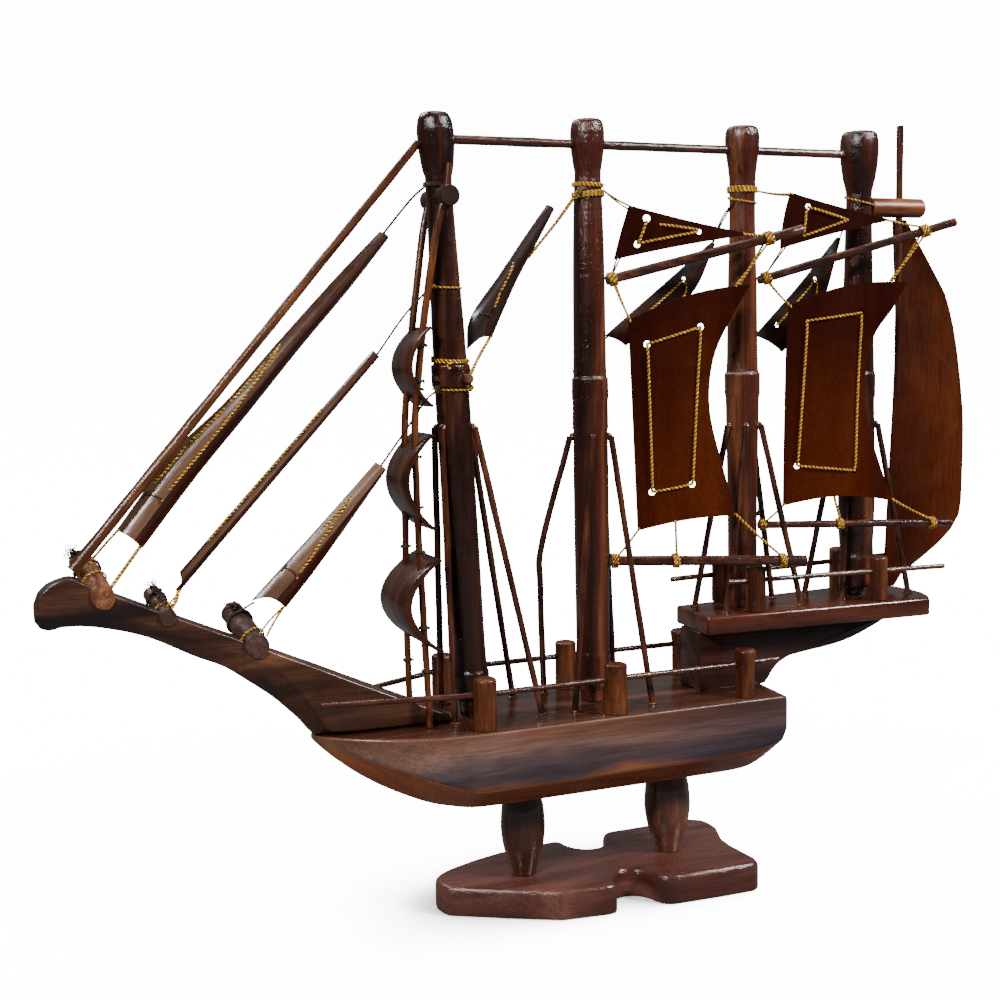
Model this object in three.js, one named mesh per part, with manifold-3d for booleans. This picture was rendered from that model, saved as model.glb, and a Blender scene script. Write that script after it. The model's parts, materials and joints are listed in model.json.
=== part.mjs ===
// Model sailing ship in varnished wood, four masts, on a shaped stand.
// Millimetres. +Z up, bow toward -X, stern toward +X, port side toward -Y.
// Origin: middle of the underside of the base board.
import * as THREE from 'three';
import { mergeVertices } from 'three/addons/utils/BufferGeometryUtils.js';
import Module from 'manifold-3d';

const wasm = await Module();
wasm.setup();

// ---------- driving dimensions ----------
const GAP = 0.3;              // clearance between pieces that touch
const BASE_LENGTH = 134;      // base board, bow tip to stern lobes
const BASE_HALF_WIDTH = 31;
const BASE_THICKNESS = 12;
const NOTCH_DEPTH = 15;       // scallop in each long side of the base
const LEG_FORE_X = -29;
const LEG_AFT_X = 38.5;
const HULL_BOTTOM = 50;       // flat bottom of the hull
const DECK = 81.6;            // main deck height
const HALF_BEAM = 30.5;
const POOP = 115;             // poop deck height
const POOP_THICKNESS = 7.7;
const MAST_TOP = 318.4;
const MAST_X = [-50, 4, 76, 135];      // mast feet
const MAST_1_RAKE = 0.046;    // forward lean of the first mast, mm per mm
const ROD_Z = 308.3;          // rod through the mast heads
const ROD_R = 1.9;
const RAIL_Z = 95.7;          // main rail rod height
const RAIL_Y = 24;
const RAIL_R = 1.15;
const POST_R = 4.5;
const POOP_RAIL_Z = 128.3;
const BOOM_ANGLE = 15;        // booms and gaffs swung toward port, degrees
const SPANKER_ANGLE = 10;
const SPANKER_X = 156.5;      // upright stick of the spanker
const SAIL_T = 1.3;           // veneer thickness

// ---------- small helpers ----------
const v = (x, y, z) => new THREE.Vector3(x, y, z);
const rad = (d) => (d * Math.PI) / 180;
const lerp = (a, b, t) => a + (b - a) * t;

function meshGeometry(points, faces) {
  const g = new THREE.BufferGeometry();
  g.setAttribute('position', new THREE.Float32BufferAttribute(points.flatMap((p) => [p.x, p.y, p.z]), 3));
  g.setIndex(faces.flat());
  let volume = 0;
  for (const [a, b, c] of faces) volume += points[a].dot(points[b].clone().cross(points[c]));
  if (volume < 0) g.setIndex(faces.flatMap(([a, b, c]) => [a, c, b]));
  return g;
}

function weld(g) {
  const c = g.clone();
  for (const name of Object.keys(c.attributes)) if (name !== 'position') c.deleteAttribute(name);
  return mergeVertices(c, 1e-4);
}

function toManifold(g) {
  const w = weld(g);
  const vertProperties = new Float32Array(w.attributes.position.array);
  const triVerts = new Uint32Array(w.index.array);
  return new wasm.Manifold(new wasm.Mesh({ numProp: 3, vertProperties, triVerts }));
}

function fromManifold(m) {
  const mesh = m.getMesh();
  const g = new THREE.BufferGeometry();
  g.setAttribute('position', new THREE.BufferAttribute(new Float32Array(mesh.vertProperties), 3));
  g.setIndex(new THREE.BufferAttribute(new Uint32Array(mesh.triVerts), 1));
  return g;
}

function cut(g, ...tools) {
  let m = toManifold(g);
  for (const t of tools) m = m.subtract(toManifold(t));
  return fromManifold(m);
}

function join(...parts) {
  let m = toManifold(parts[0]);
  for (const p of parts.slice(1)) m = m.add(toManifold(p));
  return fromManifold(m);
}

// Closed body through rings of equal length; the end rings are closed by fans.
function loft(rings) {
  const n = rings[0].length;
  const points = rings.flat();
  const faces = [];
  for (let i = 0; i + 1 < rings.length; i++) {
    for (let j = 0; j < n; j++) {
      const a = i * n + j;
      const b = i * n + ((j + 1) % n);
      faces.push([a, b, b + n], [a, b + n, a + n]);
    }
  }
  for (const end of [0, rings.length - 1]) {
    const centre = rings[end].reduce((s, p) => s.add(p), v(0, 0, 0)).divideScalar(n);
    const c = points.push(centre) - 1;
    for (let j = 0; j < n; j++) {
      const a = end * n + j;
      const b = end * n + ((j + 1) % n);
      faces.push(end === 0 ? [c, b, a] : [c, a, b]);
    }
  }
  return meshGeometry(points, faces);
}

// Round stick through a list of points with one radius for each point.
function stick(path, radii, segments = 10) {
  const rings = path.map((p, i) => {
    const before = path[Math.max(i - 1, 0)];
    const after = path[Math.min(i + 1, path.length - 1)];
    const t = after.clone().sub(before).normalize();
    const side = Math.abs(t.y) < 0.9 ? v(0, 1, 0) : v(1, 0, 0);
    const a = side.clone().sub(t.clone().multiplyScalar(side.dot(t))).normalize();
    const b = t.clone().cross(a);
    const ring = [];
    for (let k = 0; k < segments; k++) {
      const q = (2 * Math.PI * k) / segments;
      ring.push(p.clone().addScaledVector(a, radii[i] * Math.cos(q)).addScaledVector(b, radii[i] * Math.sin(q)));
    }
    return ring;
  });
  return loft(rings);
}

const rod = (a, b, r1, r2 = r1, segments = 10) => stick([a, b], [r1, r2], segments);

// Turned piece standing on z; profile is a list of [radius, z] from foot to head.
function turned(profile, segments = 14) {
  const pts = [[0, profile[0][1]], ...profile, [0, profile[profile.length - 1][1]]];
  const g = new THREE.LatheGeometry(pts.map(([r, z]) => new THREE.Vector2(r, z)), segments);
  g.rotateX(Math.PI / 2);
  const welded = weld(g);
  const p = welded.attributes.position;
  const points = [];
  for (let i = 0; i < p.count; i++) points.push(v(p.getX(i), p.getY(i), p.getZ(i)));
  const faces = [];
  const idx = welded.index.array;
  for (let i = 0; i < idx.length; i += 3) {
    const f = [idx[i], idx[i + 1], idx[i + 2]];
    if (new Set(f).size === 3) faces.push(f);
  }
  return meshGeometry(points, faces);
}

// Flat outline pushed inward by d along each corner's normal (outline runs anticlockwise).
function inset(outline, d) {
  const n = outline.length;
  return outline.map(([x, y], i) => {
    const [x0, y0] = outline[(i + n - 1) % n];
    const [x1, y1] = outline[(i + 1) % n];
    const len = Math.hypot(x1 - x0, y1 - y0);
    return [x - (d * (y1 - y0)) / len, y + (d * (x1 - x0)) / len];
  });
}

// Plate from an outline in plan: levels are [z, inset].
function plate(outline, levels) {
  const n = outline.length;
  const points = [];
  const faces = [];
  for (const [z, d] of levels) for (const [x, y] of inset(outline, d)) points.push(v(x, y, z));
  for (let i = 0; i + 1 < levels.length; i++) {
    for (let j = 0; j < n; j++) {
      const a = i * n + j;
      const b = i * n + ((j + 1) % n);
      faces.push([a, b, b + n], [a, b + n, a + n]);
    }
  }
  const top = (levels.length - 1) * n;
  const low = THREE.ShapeUtils.triangulateShape(inset(outline, levels[0][1]).map(([x, y]) => new THREE.Vector2(x, y)), []);
  const high = THREE.ShapeUtils.triangulateShape(inset(outline, levels[levels.length - 1][1]).map(([x, y]) => new THREE.Vector2(x, y)), []);
  for (const [a, b, c] of low) faces.push([a, c, b]);
  for (const [a, b, c] of high) faces.push([top + a, top + b, top + c]);
  return meshGeometry(points, faces);
}

// Thin curved sheet: at(u, w) gives the middle surface, thick(u, w) its thickness.
function sheet(nu, nw, at, thick) {
  const e = 1e-3;
  const points = [];
  const faces = [];
  for (const side of [1, -1]) {
    for (let i = 0; i <= nu; i++) {
      for (let j = 0; j <= nw; j++) {
        const u = i / nu;
        const w = j / nw;
        const du = at(Math.min(u + e, 1), w).sub(at(Math.max(u - e, 0), w));
        const dw = at(u, Math.min(w + e, 1)).sub(at(u, Math.max(w - e, 0)));
        const normal = du.cross(dw).normalize();
        points.push(at(u, w).addScaledVector(normal, (side * thick(u, w)) / 2));
      }
    }
  }
  const row = nw + 1;
  const back = (nu + 1) * row;
  for (let i = 0; i < nu; i++) {
    for (let j = 0; j < nw; j++) {
      const a = i * row + j;
      faces.push([a, a + row, a + row + 1], [a, a + row + 1, a + 1]);
      faces.push([back + a, back + a + row + 1, back + a + row], [back + a, back + a + 1, back + a + row + 1]);
    }
  }
  const rim = [];
  for (let i = 0; i < nu; i++) rim.push(i * row);
  for (let j = 0; j < nw; j++) rim.push(nu * row + j);
  for (let i = nu; i > 0; i--) rim.push(i * row + nw);
  for (let j = nw; j > 0; j--) rim.push(j);
  for (let k = 0; k < rim.length; k++) {
    const a = rim[k];
    const b = rim[(k + 1) % rim.length];
    faces.push([a, back + a, back + b], [a, back + b, b]);
  }
  return meshGeometry(points, faces);
}

// Point at share w along a polyline of [s, z] points.
function along(line, w) {
  const t = w * (line.length - 1);
  const i = Math.min(Math.floor(t), line.length - 2);
  return [lerp(line[i][0], line[i + 1][0], t - i), lerp(line[i][1], line[i + 1][1], t - i)];
}

// Upright veneer between a fore edge and an aft edge, both [s, z] from foot to head.
// place turns (s, offset, z) into a point; footArch and headArch bend the two ends.
function veneer({ fore, aft, place, camber = 0, footArch = 0, headArch = 0, nu = 6, nw = 10, thickness = SAIL_T, holes = [] }) {
  const at = (u, w) => {
    const [s0, z0] = along(fore, w);
    const [s1, z1] = along(aft, w);
    const bow = Math.sin(Math.PI * u);
    const z = lerp(z0, z1, u) + bow * lerp(footArch, headArch, w);
    return place(lerp(s0, s1, u), camber * bow, z);
  };
  let g = sheet(nu, nw, at, () => thickness);
  for (const [s, z, r] of holes) {
    const [a, b] = [place(s, -6, z), place(s, 6, z)];
    g = cut(g, rod(a, b, r, r, 8));
  }
  return g;
}

// Upright plane through a mast, swung toward port by an angle.
const swung = (mastX, degrees) => (s, off, z) =>
  v(mastX + s * Math.cos(rad(degrees)) - off * Math.sin(rad(degrees)), -s * Math.sin(rad(degrees)) - off * Math.cos(rad(degrees)), z);

const mast1X = (z) => MAST_X[0] - (z - DECK) * MAST_1_RAKE;

const ship = new THREE.Group();
ship.name = 'model_sailing_ship';
function add(name, geometry, color, roughness = 0.4) {
  const g = weld(geometry);
  g.computeVertexNormals();
  const mesh = new THREE.Mesh(g, new THREE.MeshStandardMaterial({ color, roughness, metalness: 0 }));
  mesh.name = name;
  ship.add(mesh);
  return mesh;
}

const HULL_BROWN = '#4a2e22';
const GLOSS_BROWN = '#3d1c12';
const MAST_BROWN = '#3a1a10';
const POST_BROWN = '#7a431f';
const SAIL_BROWN = '#4b2614';
const STICK_BROWN = '#3c2016';

// ---------- stand ----------
// Two lobes at the stern end, a blunt nose at the bow end, one scallop in each side.
function scallop(y, side) {
  return Array.from({ length: 7 }, (_, i) => {
    const q = Math.PI - (Math.PI * (i + 1)) / 8;
    return [10.5 + 9.3 * Math.cos(q), side * (y - (NOTCH_DEPTH - 3) * Math.sin(q))];
  });
}
function baseOutline() {
  const half = BASE_LENGTH / 2;
  const port = [
    [-half + 2, 7], [-half + 2.6, 2], [-half + 4, -1.8], [-half + 25, -14.8], [-half + 44, -25.6], [-3, -28.2], [0.6, -27.2], [1.2, -24.8],
    ...scallop(26, -1), [20.5, -26], [22.5, -28.4], [26, -29.8], [46, -30.8], [half - 4, -BASE_HALF_WIDTH],
    [half - 1, -BASE_HALF_WIDTH + 2], [half, -BASE_HALF_WIDTH + 6], [half - 0.5, -16], [half - 1, -8],
  ];
  const stbd = [
    [half, 2], [half + 2.4, 8], [half + 5.2, 15], [half + 5.6, 22], [half + 4, 27.4], [half - 0.5, 30.4], [46, BASE_HALF_WIDTH], [26, BASE_HALF_WIDTH],
    [22.5, 29.5], [20.5, 26.5], ...scallop(26.5, 1).reverse(), [1.2, 26], [0.6, BASE_HALF_WIDTH - 2.6], [-2, BASE_HALF_WIDTH - 1.2],
    [-half + 58, BASE_HALF_WIDTH - 1.5], [-half + 38, 27.5], [-half + 24, 23.4], [-half + 11, 17.8], [-half + 5.6, 14.2], [-half + 3, 11],
  ];
  return [...port, ...stbd];
}
add('base_board', plate(baseOutline(), [[0, 0.4], [1.2, 0], [8.4, 0], [10.2, 0.7], [11.4, 2], [BASE_THICKNESS, 3.6]]), GLOSS_BROWN, 0.15);

function leg(r) {
  const z0 = BASE_THICKNESS + GAP;
  const h = HULL_BOTTOM - GAP - z0;
  return turned([[r * 0.55, z0], [r * 0.72, z0 + h * 0.16], [r * 0.93, z0 + h * 0.36], [r, z0 + h * 0.54], [r * 0.96, z0 + h * 0.72], [r * 0.82, z0 + h * 0.9], [r * 0.76, z0 + h]]);
}
add('leg_fore', leg(9.2).translate(LEG_FORE_X, 0, 0), GLOSS_BROWN, 0.2);
add('leg_aft', leg(9.8).translate(LEG_AFT_X, 0, 0), GLOSS_BROWN, 0.2);

// ---------- hull ----------
// Each station: x, half width at deck, height of the chine, half width of the bottom, bottom height, extra x at the middle.
const STATIONS = [
  [-116, 4, 79.4, 3, 78.6, -0.8], [-111.5, 8.5, 77.4, 6, 74.2, 0], [-100, 17, 73.5, 11.5, 65.5, 0], [-86, 24.5, 68.5, 16.5, 58, 0],
  [-72, 29, 63, 20, 52.8, 0], [-56, HALF_BEAM, 58.8, 22.5, HULL_BOTTOM + 0.3, 0], [-38, HALF_BEAM - 0.4, 58.8, 22.5, HULL_BOTTOM, 0],
  [50, HALF_BEAM, 59, 22.5, HULL_BOTTOM, 0], [61, HALF_BEAM, 60, 23.5, HULL_BOTTOM + 0.8, 0.6], [77, HALF_BEAM, 63.2, 27, 61.2, 3], [79.4, HALF_BEAM, 68, 28.5, 66.5, 3.6],
];
function hull() {
  const rings = STATIONS.map(([x, b, zc, bb, zb, bulge]) => [
    v(x, -b, DECK), v(x, -b, zc), v(x + bulge * 0.4, -bb, zb), v(x + bulge, 0, zb), v(x + bulge * 0.4, bb, zb), v(x, b, zc), v(x, b, DECK), v(x + bulge, 0, DECK),
  ]);
  return loft(rings);
}
add('hull', hull(), HULL_BROWN, 0.45);

// Prow timber: x, top, underside, facet line, half width.
const PROW = [
  [-216.3, 140.6, 134.6, 137.4, 3.6], [-214.5, 144.4, 132, 138.5, 4.6], [-211, 147.4, 131, 139, 5], [-207, 149, 131.8, 139, 5], [-203.5, 149.6, 131.8, 139, 5],
  [-199, 147.6, 131.4, 138.5, 5], [-188, 142.2, 129, 135, 5], [-178, 137.5, 125.7, 131, 5.2], [-160, 129.3, 116.4, 123.6, 5.6],
  [-150.5, 125, 112, 119.6, 5.9], [-141, 120.8, 105.3, 115.4, 6.2], [-132, 116.5, 98.3, 110.5, 6.6], [-122, 111.8, 88.4, 100, 7],
  [-115.6, 108.9, DECK + GAP, 90, 7.4], [-110.5, 106.5, DECK + GAP, 83.4, 7.8], [-100, 101.5, DECK + GAP, 82.6, 8], [-80, 92.3, DECK + GAP, 82.4, 8],
  [-62, 84.4, DECK + GAP, 82.3, 8], [-57.6, 82.7, DECK + GAP, 82.2, 7.4],
];
function prow() {
  const rings = PROW.map(([x, zt, zb, zf, w]) => {
    const edge = Math.min(1.2, (zt - zf) * 0.4);
    return [
      v(x, -w + edge, zt), v(x, -w, zt - edge), v(x, -w, zf), v(x, -w * 0.45, zb), v(x, w * 0.45, zb), v(x, w, zf), v(x, w, zt - edge), v(x, w - edge, zt),
    ];
  });
  return loft(rings);
}
// Cross dowels lean up on the starboard side; port ends are cut flush with an upright plane.
function slantedDowel(near, far, r) {
  const axis = far.clone().sub(near).normalize();
  const ring = (centre, flush) => {
    const a = v(1, 0, 0).sub(axis.clone().multiplyScalar(axis.x)).normalize();
    const b = axis.clone().cross(a);
    return Array.from({ length: 14 }, (_, k) => {
      const q = (2 * Math.PI * k) / 14;
      const p = centre.clone().addScaledVector(a, r * Math.cos(q)).addScaledVector(b, r * Math.sin(q));
      return flush ? p.addScaledVector(axis, (centre.y - p.y) / axis.y) : p;
    });
  };
  return loft([ring(near, true), ring(far, false)]);
}
const DOWELS = [
  { near: v(-192.7, -6, 142.2), far: v(-198, 17, 153.5), r: 4.3 },
  { near: v(-170.1, -6.3, 132.9), far: v(-173.5, 12, 139.5), r: 3.1 },
  { near: v(-138, -7.4, 119.3), far: v(-143, 15, 129.5), r: 4.4 },
];
let prowBody = prow();
for (const d of DOWELS) {
  const t = d.far.clone().sub(d.near).normalize();
  prowBody = cut(prowBody, rod(d.near.clone().addScaledVector(t, -12), d.far.clone().addScaledVector(t, 6), d.r + GAP, d.r + GAP, 16));
}
add('prow', prowBody, HULL_BROWN, 0.4);
DOWELS.forEach((d, i) => add(`prow_dowel_${i + 1}`, slantedDowel(d.near, d.far, d.r), POST_BROWN, 0.5));

// ---------- stern ----------
const STERN_PROFILE = [
  [50, DECK + GAP], [82, DECK + GAP], [83.8, 83.6], [86.3, 87.3], [89.4, 90.2], [94.6, 92.6], [105, 94], [112.5, 94.7], [119.8, 95.8],
  [126, 97.2], [132.6, 99.4], [141.2, 102.8], [150, POOP - POOP_THICKNESS - GAP], [50, POOP - POOP_THICKNESS - GAP],
];
const block = plate(STERN_PROFILE.map(([x, z]) => [x, z]), [[-8.5, 0], [8.5, 0]]);
add('stern_block', block.rotateX(Math.PI / 2), '#2a1d1c', 0.5);

const POOP_PLAN = [[49, -17], [100, -19.8], [150, -22.4], [158, -22.6], [162, -17], [165, -9], [166, 0], [165, 9], [162, 17], [158, 22.6], [150, 22.4], [100, 18.5], [51, 14]];
add('poop_deck', plate(POOP_PLAN, [[POOP - POOP_THICKNESS, 0], [POOP - 0.6, 0], [POOP, 0.6]]), GLOSS_BROWN, 0.15);

// ---------- rails ----------
const FORE_RAIL = [v(-117, -16, 96.2), v(-54, -RAIL_Y, RAIL_Z - 0.3), v(2.5, -RAIL_Y, RAIL_Z), v(62.5, -RAIL_Y, RAIL_Z), v(78.5, -RAIL_Y, RAIL_Z + 0.4)];
const flip = (p, s) => v(p.x, p.y * s, p.z);
for (const [side, s] of [['port', 1], ['stbd', -1]]) {
  const path = FORE_RAIL.map((p) => flip(p, s));
  if (side === 'stbd') path[0].z = 88.8;
  add(`rail_rod_${side}`, stick(path, path.map(() => RAIL_R), 8), STICK_BROWN, 0.3);
  const bore = stick(path, path.map(() => RAIL_R + GAP), 8);
  [-54, 2.5, side === 'port' ? 62.5 : 59].forEach((x, i) => {
    const post = rod(v(x, -RAIL_Y * s, DECK + GAP), v(x, -RAIL_Y * s, DECK + 20.4), i === 2 ? POST_R * 0.86 : POST_R, POST_R, 14);
    add(`rail_post_${side}_${i + 1}`, cut(post, bore), POST_BROWN, 0.55);
  });
  const y1 = -13.8 * s;
  const y2 = -15.2 * s;
  const start = side === 'port' ? 61 : 48.5;
  const at = (x) => v(x, lerp(y1, y2, (x - 74) / 62), POOP_RAIL_Z + (side === 'port' ? -0.009 * (x - 74) : 0.018 * (x - 136)));
  const poopPath = [at(start), at(170.5)];
  add(`poop_rod_${side}`, stick(poopPath, [RAIL_R, RAIL_R], 8), STICK_BROWN, 0.3);
  [[74, y1], [136, y2]].forEach(([x, y], i) => {
    const r = i === 0 ? 4.3 : 3.8;
    const post = rod(v(x, y, POOP + GAP), v(x, y, POOP + 19.2), r, r, 14);
    add(`poop_post_${side}_${i + 1}`, cut(post, stick(poopPath, [RAIL_R + GAP, RAIL_R + GAP], 8)), POST_BROWN, 0.55);
  });
}

// ---------- masts ----------
// Profiles are [radius, height]; heads carry a bulb over a narrow neck.
const MAST_PROFILES = [
  [[5.2, 81.9], [5.4, 88], [7.4, 90.5], [7.6, 99], [6.9, 101], [6.7, 117], [6.8, 156], [6.8, 205], [6.8, 213], [7.8, 213.6], [7.7, 221.6], [6.7, 222.4], [6.3, 240], [5.8, 258], [5.2, 290], [5.2, 294.4], [5.6, 295], [6.5, 300], [7.1, 306], [7.2, 310], [6.7, 315], [5.4, 317.6], [4.9, MAST_TOP]],
  [[5.3, 81.9], [5.5, 85.5], [7.1, 89.5], [7.2, 101], [6.8, 103], [6.9, 112], [7.1, 143], [7.2, 175], [7, 194], [7.3, 195], [7.2, 206], [7.5, 207], [7.4, 215], [6.8, 215.8], [6.7, 222], [6.4, 259], [5.6, 290], [5.3, 296], [6.1, 302], [6.8, 308], [6.9, 312], [6.5, 315.8], [5.7, 317.6], [5.2, MAST_TOP]],
  [[5.2, 115.3], [6.2, 118.5], [6.5, 128], [6.2, 131], [6.2, 155], [6.7, 185], [6.9, 196], [7.1, 205], [7.3, 206], [7.5, 207], [7.5, 215], [6.8, 216], [6.5, 222], [6.1, 250], [5.4, 282], [5.5, 296], [6.1, 302], [7.1, 309.5], [7.2, 313.5], [6.7, 316.6], [6, 317.7], [5.5, MAST_TOP]],
  [[6, 115.3], [6.9, 118.5], [7.6, 121], [7.7, 132], [7.1, 134.5], [7.6, 142], [8, 160], [7.7, 185], [7.4, 203], [7.8, 204], [7.8, 213], [7.3, 214.5], [6.7, 235], [5.9, 270], [5.5, 291], [5.7, 293], [6.9, 298], [8.1, 307], [8.3, 312], [7.7, 316.4], [6.9, 317.7], [6.4, MAST_TOP]],
];
const headRod = (r) => stick([v(mast1X(ROD_Z) + 4, 0, ROD_Z), v(MAST_X[1], 0, ROD_Z), v(MAST_X[3] - 4, 0, ROD_Z)], [r, r, r * 0.96], 12);
const FORE_DOWEL_Z = 286;
const PEG_Z = 216.5;
const PEG_X = mast1X(PEG_Z) + 4;
const foreDowelX = mast1X(FORE_DOWEL_Z);
function mast(i) {
  let g = turned(MAST_PROFILES[i]);
  if (i === 0) {
    g.applyMatrix4(new THREE.Matrix4().makeShear(0, 0, 0, 0, -MAST_1_RAKE, 0));
    g.translate(MAST_X[0] + DECK * MAST_1_RAKE, 0, 0);
  } else g.translate(MAST_X[i], 0, 0);
  g = cut(g, stick([v(i === 0 ? mast1X(ROD_Z) + 3.6 : -20, 0, ROD_Z), v(i === 3 ? MAST_X[3] - 3.6 : 134, 0, ROD_Z)], [ROD_R + GAP, ROD_R + GAP], 12));
  if (i === 0) {
    g = cut(g, rod(v(foreDowelX, -14, FORE_DOWEL_Z), v(foreDowelX, 14, FORE_DOWEL_Z), 4.1 + GAP, 4.1 + GAP, 16));
    g = cut(g, rod(v(PEG_X, -14, PEG_Z), v(PEG_X, -2.7, PEG_Z), 2 + GAP, 2 + GAP, 12));
  }
  return g;
}
for (let i = 0; i < 4; i++) add(`mast_${i + 1}`, mast(i), MAST_BROWN, 0.18);
add('top_rod', headRod(ROD_R), STICK_BROWN, 0.3);
add('mast_1_peg', rod(v(PEG_X, -9.6, PEG_Z), v(PEG_X, -3, PEG_Z), 2, 2, 12), POST_BROWN, 0.5);

// Forestay: a straight stick from the bulb of the prow to the head of mast 1.
add('forestay_stick', stick([v(-202.4, 0, 151.8), v(mast1X(ROD_Z) - 8.9, 0, ROD_Z - 3.6)], [2.2, 1.6], 10), STICK_BROWN, 0.3);

// ---------- fore gear: cross dowel, two bowed sticks, three square sails ----------
const BOW_STICK = [
  [-58.4, 9, 298], [-60.2, 9, FORE_DOWEL_Z], [-63.2, 8.2, 276], [-69.4, 6.4, 238], [-73.7, 6.1, 200], [-74, 6.8, 178], [-74, 7.8, 158], [-73.5, 10.8, 117], [-72.6, 12, DECK + GAP],
];
const bowStick = (s, r) => stick(BOW_STICK.map(([x, y, z]) => v(x, -y * s, z)), BOW_STICK.map((p, i) => r - 0.02 * i), 8);
let foreDowel = rod(v(foreDowelX, -12, FORE_DOWEL_Z), v(foreDowelX, 12, FORE_DOWEL_Z), 4.1, 4.1, 16);
for (const s of [1, -1]) foreDowel = cut(foreDowel, bowStick(s, 1.5 + GAP));
add('fore_dowel', foreDowel, STICK_BROWN, 0.4);
add('bow_stick_port', bowStick(1, 1.5), STICK_BROWN, 0.35);
add('bow_stick_stbd', bowStick(-1, 1.5), STICK_BROWN, 0.35);

// Square sail: a veneer bent so that its belly points to the bow, thick in the middle.
function squareSail(zLow, zHigh, tipX, bellyX, halfWidth, mid, tip) {
  const at = (u, w) => v(lerp(tipX, bellyX, Math.sin(Math.PI * w) ** 0.8), lerp(-halfWidth, halfWidth, u), lerp(zLow, zHigh, w));
  const g = sheet(2, 12, at, (u, w) => lerp(tip, mid, Math.sin(Math.PI * w)));
  return cut(g, bowStick(1, 1.5 + GAP), bowStick(-1, 1.5 + GAP));
}
// The bowed sticks thread each sail near its head and foot.
add('square_sail_upper', squareSail(206.5, 236.4, -67.5, -76.4, 10.5, 2, 1), SAIL_BROWN, 0.4);
add('square_sail_middle', squareSail(159, 195.5, -68, -79.4, 11.5, 2.4, 1.1), SAIL_BROWN, 0.4);
add('square_sail_lower', squareSail(111.6, 147.5, -67.2, -81.4, 15, 3.4, 1.1), SAIL_BROWN, 0.4);

// ---------- jibs ----------
// Long narrow veneers beside the forestay; roll turns each one about its own length.
function jib(fore, aft, y, roll, camber, footArch) {
  const mid = [(fore[0][0] + aft[0][0]) / 2, (fore[0][1] + aft[0][1]) / 2];
  const top = [(fore.at(-1)[0] + aft.at(-1)[0]) / 2, (fore.at(-1)[1] + aft.at(-1)[1]) / 2];
  const dir = v(top[0] - mid[0], 0, top[1] - mid[1]).normalize();
  const place = (s, off, z) => v(s, off, z).sub(v(mid[0], 0, mid[1])).applyAxisAngle(dir, rad(roll)).add(v(mid[0], y, mid[1]));
  return veneer({ fore, aft, place, camber, footArch, nu: 4, nw: 6, thickness: 1.4 });
}
add('jib_1', jib([[-185.9, 164.9], [-164.2, 192.3], [-144.2, 210.3], [-125.2, 230.3], [-101.5, 254.7], [-82.5, 273]], [[-177.2, 158], [-156, 183.9], [-136, 206.5], [-115.5, 230.2], [-96, 251.7], [-79.8, 271]], 3.8, 0, -2.4, 0.8), SAIL_BROWN, 0.4);
add('jib_2', jib([[-166, 149.9], [-89.2, 228.6]], [[-164.6, 140.2], [-86.4, 225.8]], -1.5, 52, -1.6, 0.8), SAIL_BROWN, 0.4);
add('jib_3', jib([[-139, 135.8], [-111, 163], [-88.6, 185.4]], [[-125.6, 132], [-110.7, 149.4], [-84.8, 182.4]], -1.5, 8, -2.4, 3), SAIL_BROWN, 0.4);

// ---------- staysails ----------
const centre = (y) => (s, off, z) => v(s, y - off, z);
add('staysail_12', veneer({ fore: [[-48.3, 227.5], [-46.6, 239.8], [-34, 256.2], [-22, 272.2], [-12.4, 284.4]], aft: [[-38, 232.4], [-32.5, 243.7], [-26, 256.4], [-18.4, 269], [-10.5, 282.4]], place: centre(3), camber: 2.2, footArch: 2.2, nu: 4, nw: 6, holes: [[-37.6, 242.9, 1.1]] }), SAIL_BROWN, 0.4);
add('staysail_23', veneer({ fore: [[12.4, 232], [38, 251.5], [62.8, 270.4]], aft: [[22, 228], [52, 248], [64.2, 269.4]], place: centre(3), camber: 0.8, footArch: 0.8, nu: 3, nw: 4, holes: [[24, 235.5, 1.2], [49, 255, 1.2]] }), SAIL_BROWN, 0.4);
add('staysail_34', veneer({ fore: [[84.3, 231.2], [106, 252], [126, 273.2]], aft: [[97.8, 224], [117, 243], [127.4, 272]], place: centre(3), camber: 0.8, footArch: 0.8, nu: 3, nw: 4, holes: [[94.8, 235.5, 1.2], [114, 255, 1.2]] }), SAIL_BROWN, 0.4);

// ---------- gaff rigs of masts 2 and 3 ----------
const RIGS = [
  {
    n: 2, mastX: MAST_X[1], gaff: [[7.1, 254.3], [89.6, 274.2]], gaffR: 2, boom: [[7.9, 139.7], [91.6, 136.8]], boomR: 2.1,
    fore: [[19.4, 151.9], [17.8, 195], [16.2, 238.4]], aft: [[61.1, 156.9], [57.8, 168.9], [54, 182.9], [50.8, 195.6], [49.7, 207.3], [51.3, 220.9], [55.7, 232.3], [67.1, 252.1]],
    footArch: 1.7, headArch: 3, holes: [[23.6, 228.5, 1.5], [45.8, 235.1, 1.5], [25.3, 167.9, 1.5], [42, 170.7, 1.5]],
    top: [[10.4, 262.6], [13.2, 273], [16.8, 284.3]], tip: [65.5, 272.4], topHoles: [[24, 279, 1.6], [20, 268.7, 1.4], [45.6, 273.5, 1.2]],
  },
  {
    n: 3, mastX: MAST_X[2], gaff: [[6.9, 254.4], [94.4, 278.2]], gaffR: 1.8, boom: [[7, 150], [94.6, 148.2]], boomR: 1.6,
    fore: [[18.2, 158], [18.6, 190], [19.4, 225.4], [20.5, 243.7]], aft: [[67.6, 158.5], [61.6, 173.9], [56.8, 189.5], [54.3, 204], [54.8, 218.2], [58.7, 231.2], [66.6, 242], [72.9, 252.8]],
    footArch: 3.4, headArch: 3.6, holes: [[28, 237, 1.4], [51.9, 240, 1.4], [24, 175.2, 1.4], [49.4, 172.5, 1.4]],
    top: [[16.5, 267.5], [17.9, 279], [20.8, 291]], tip: [64, 279.2], topHoles: [[28.6, 285, 1.3], [46.6, 279.8, 1.2]],
  },
];
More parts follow.
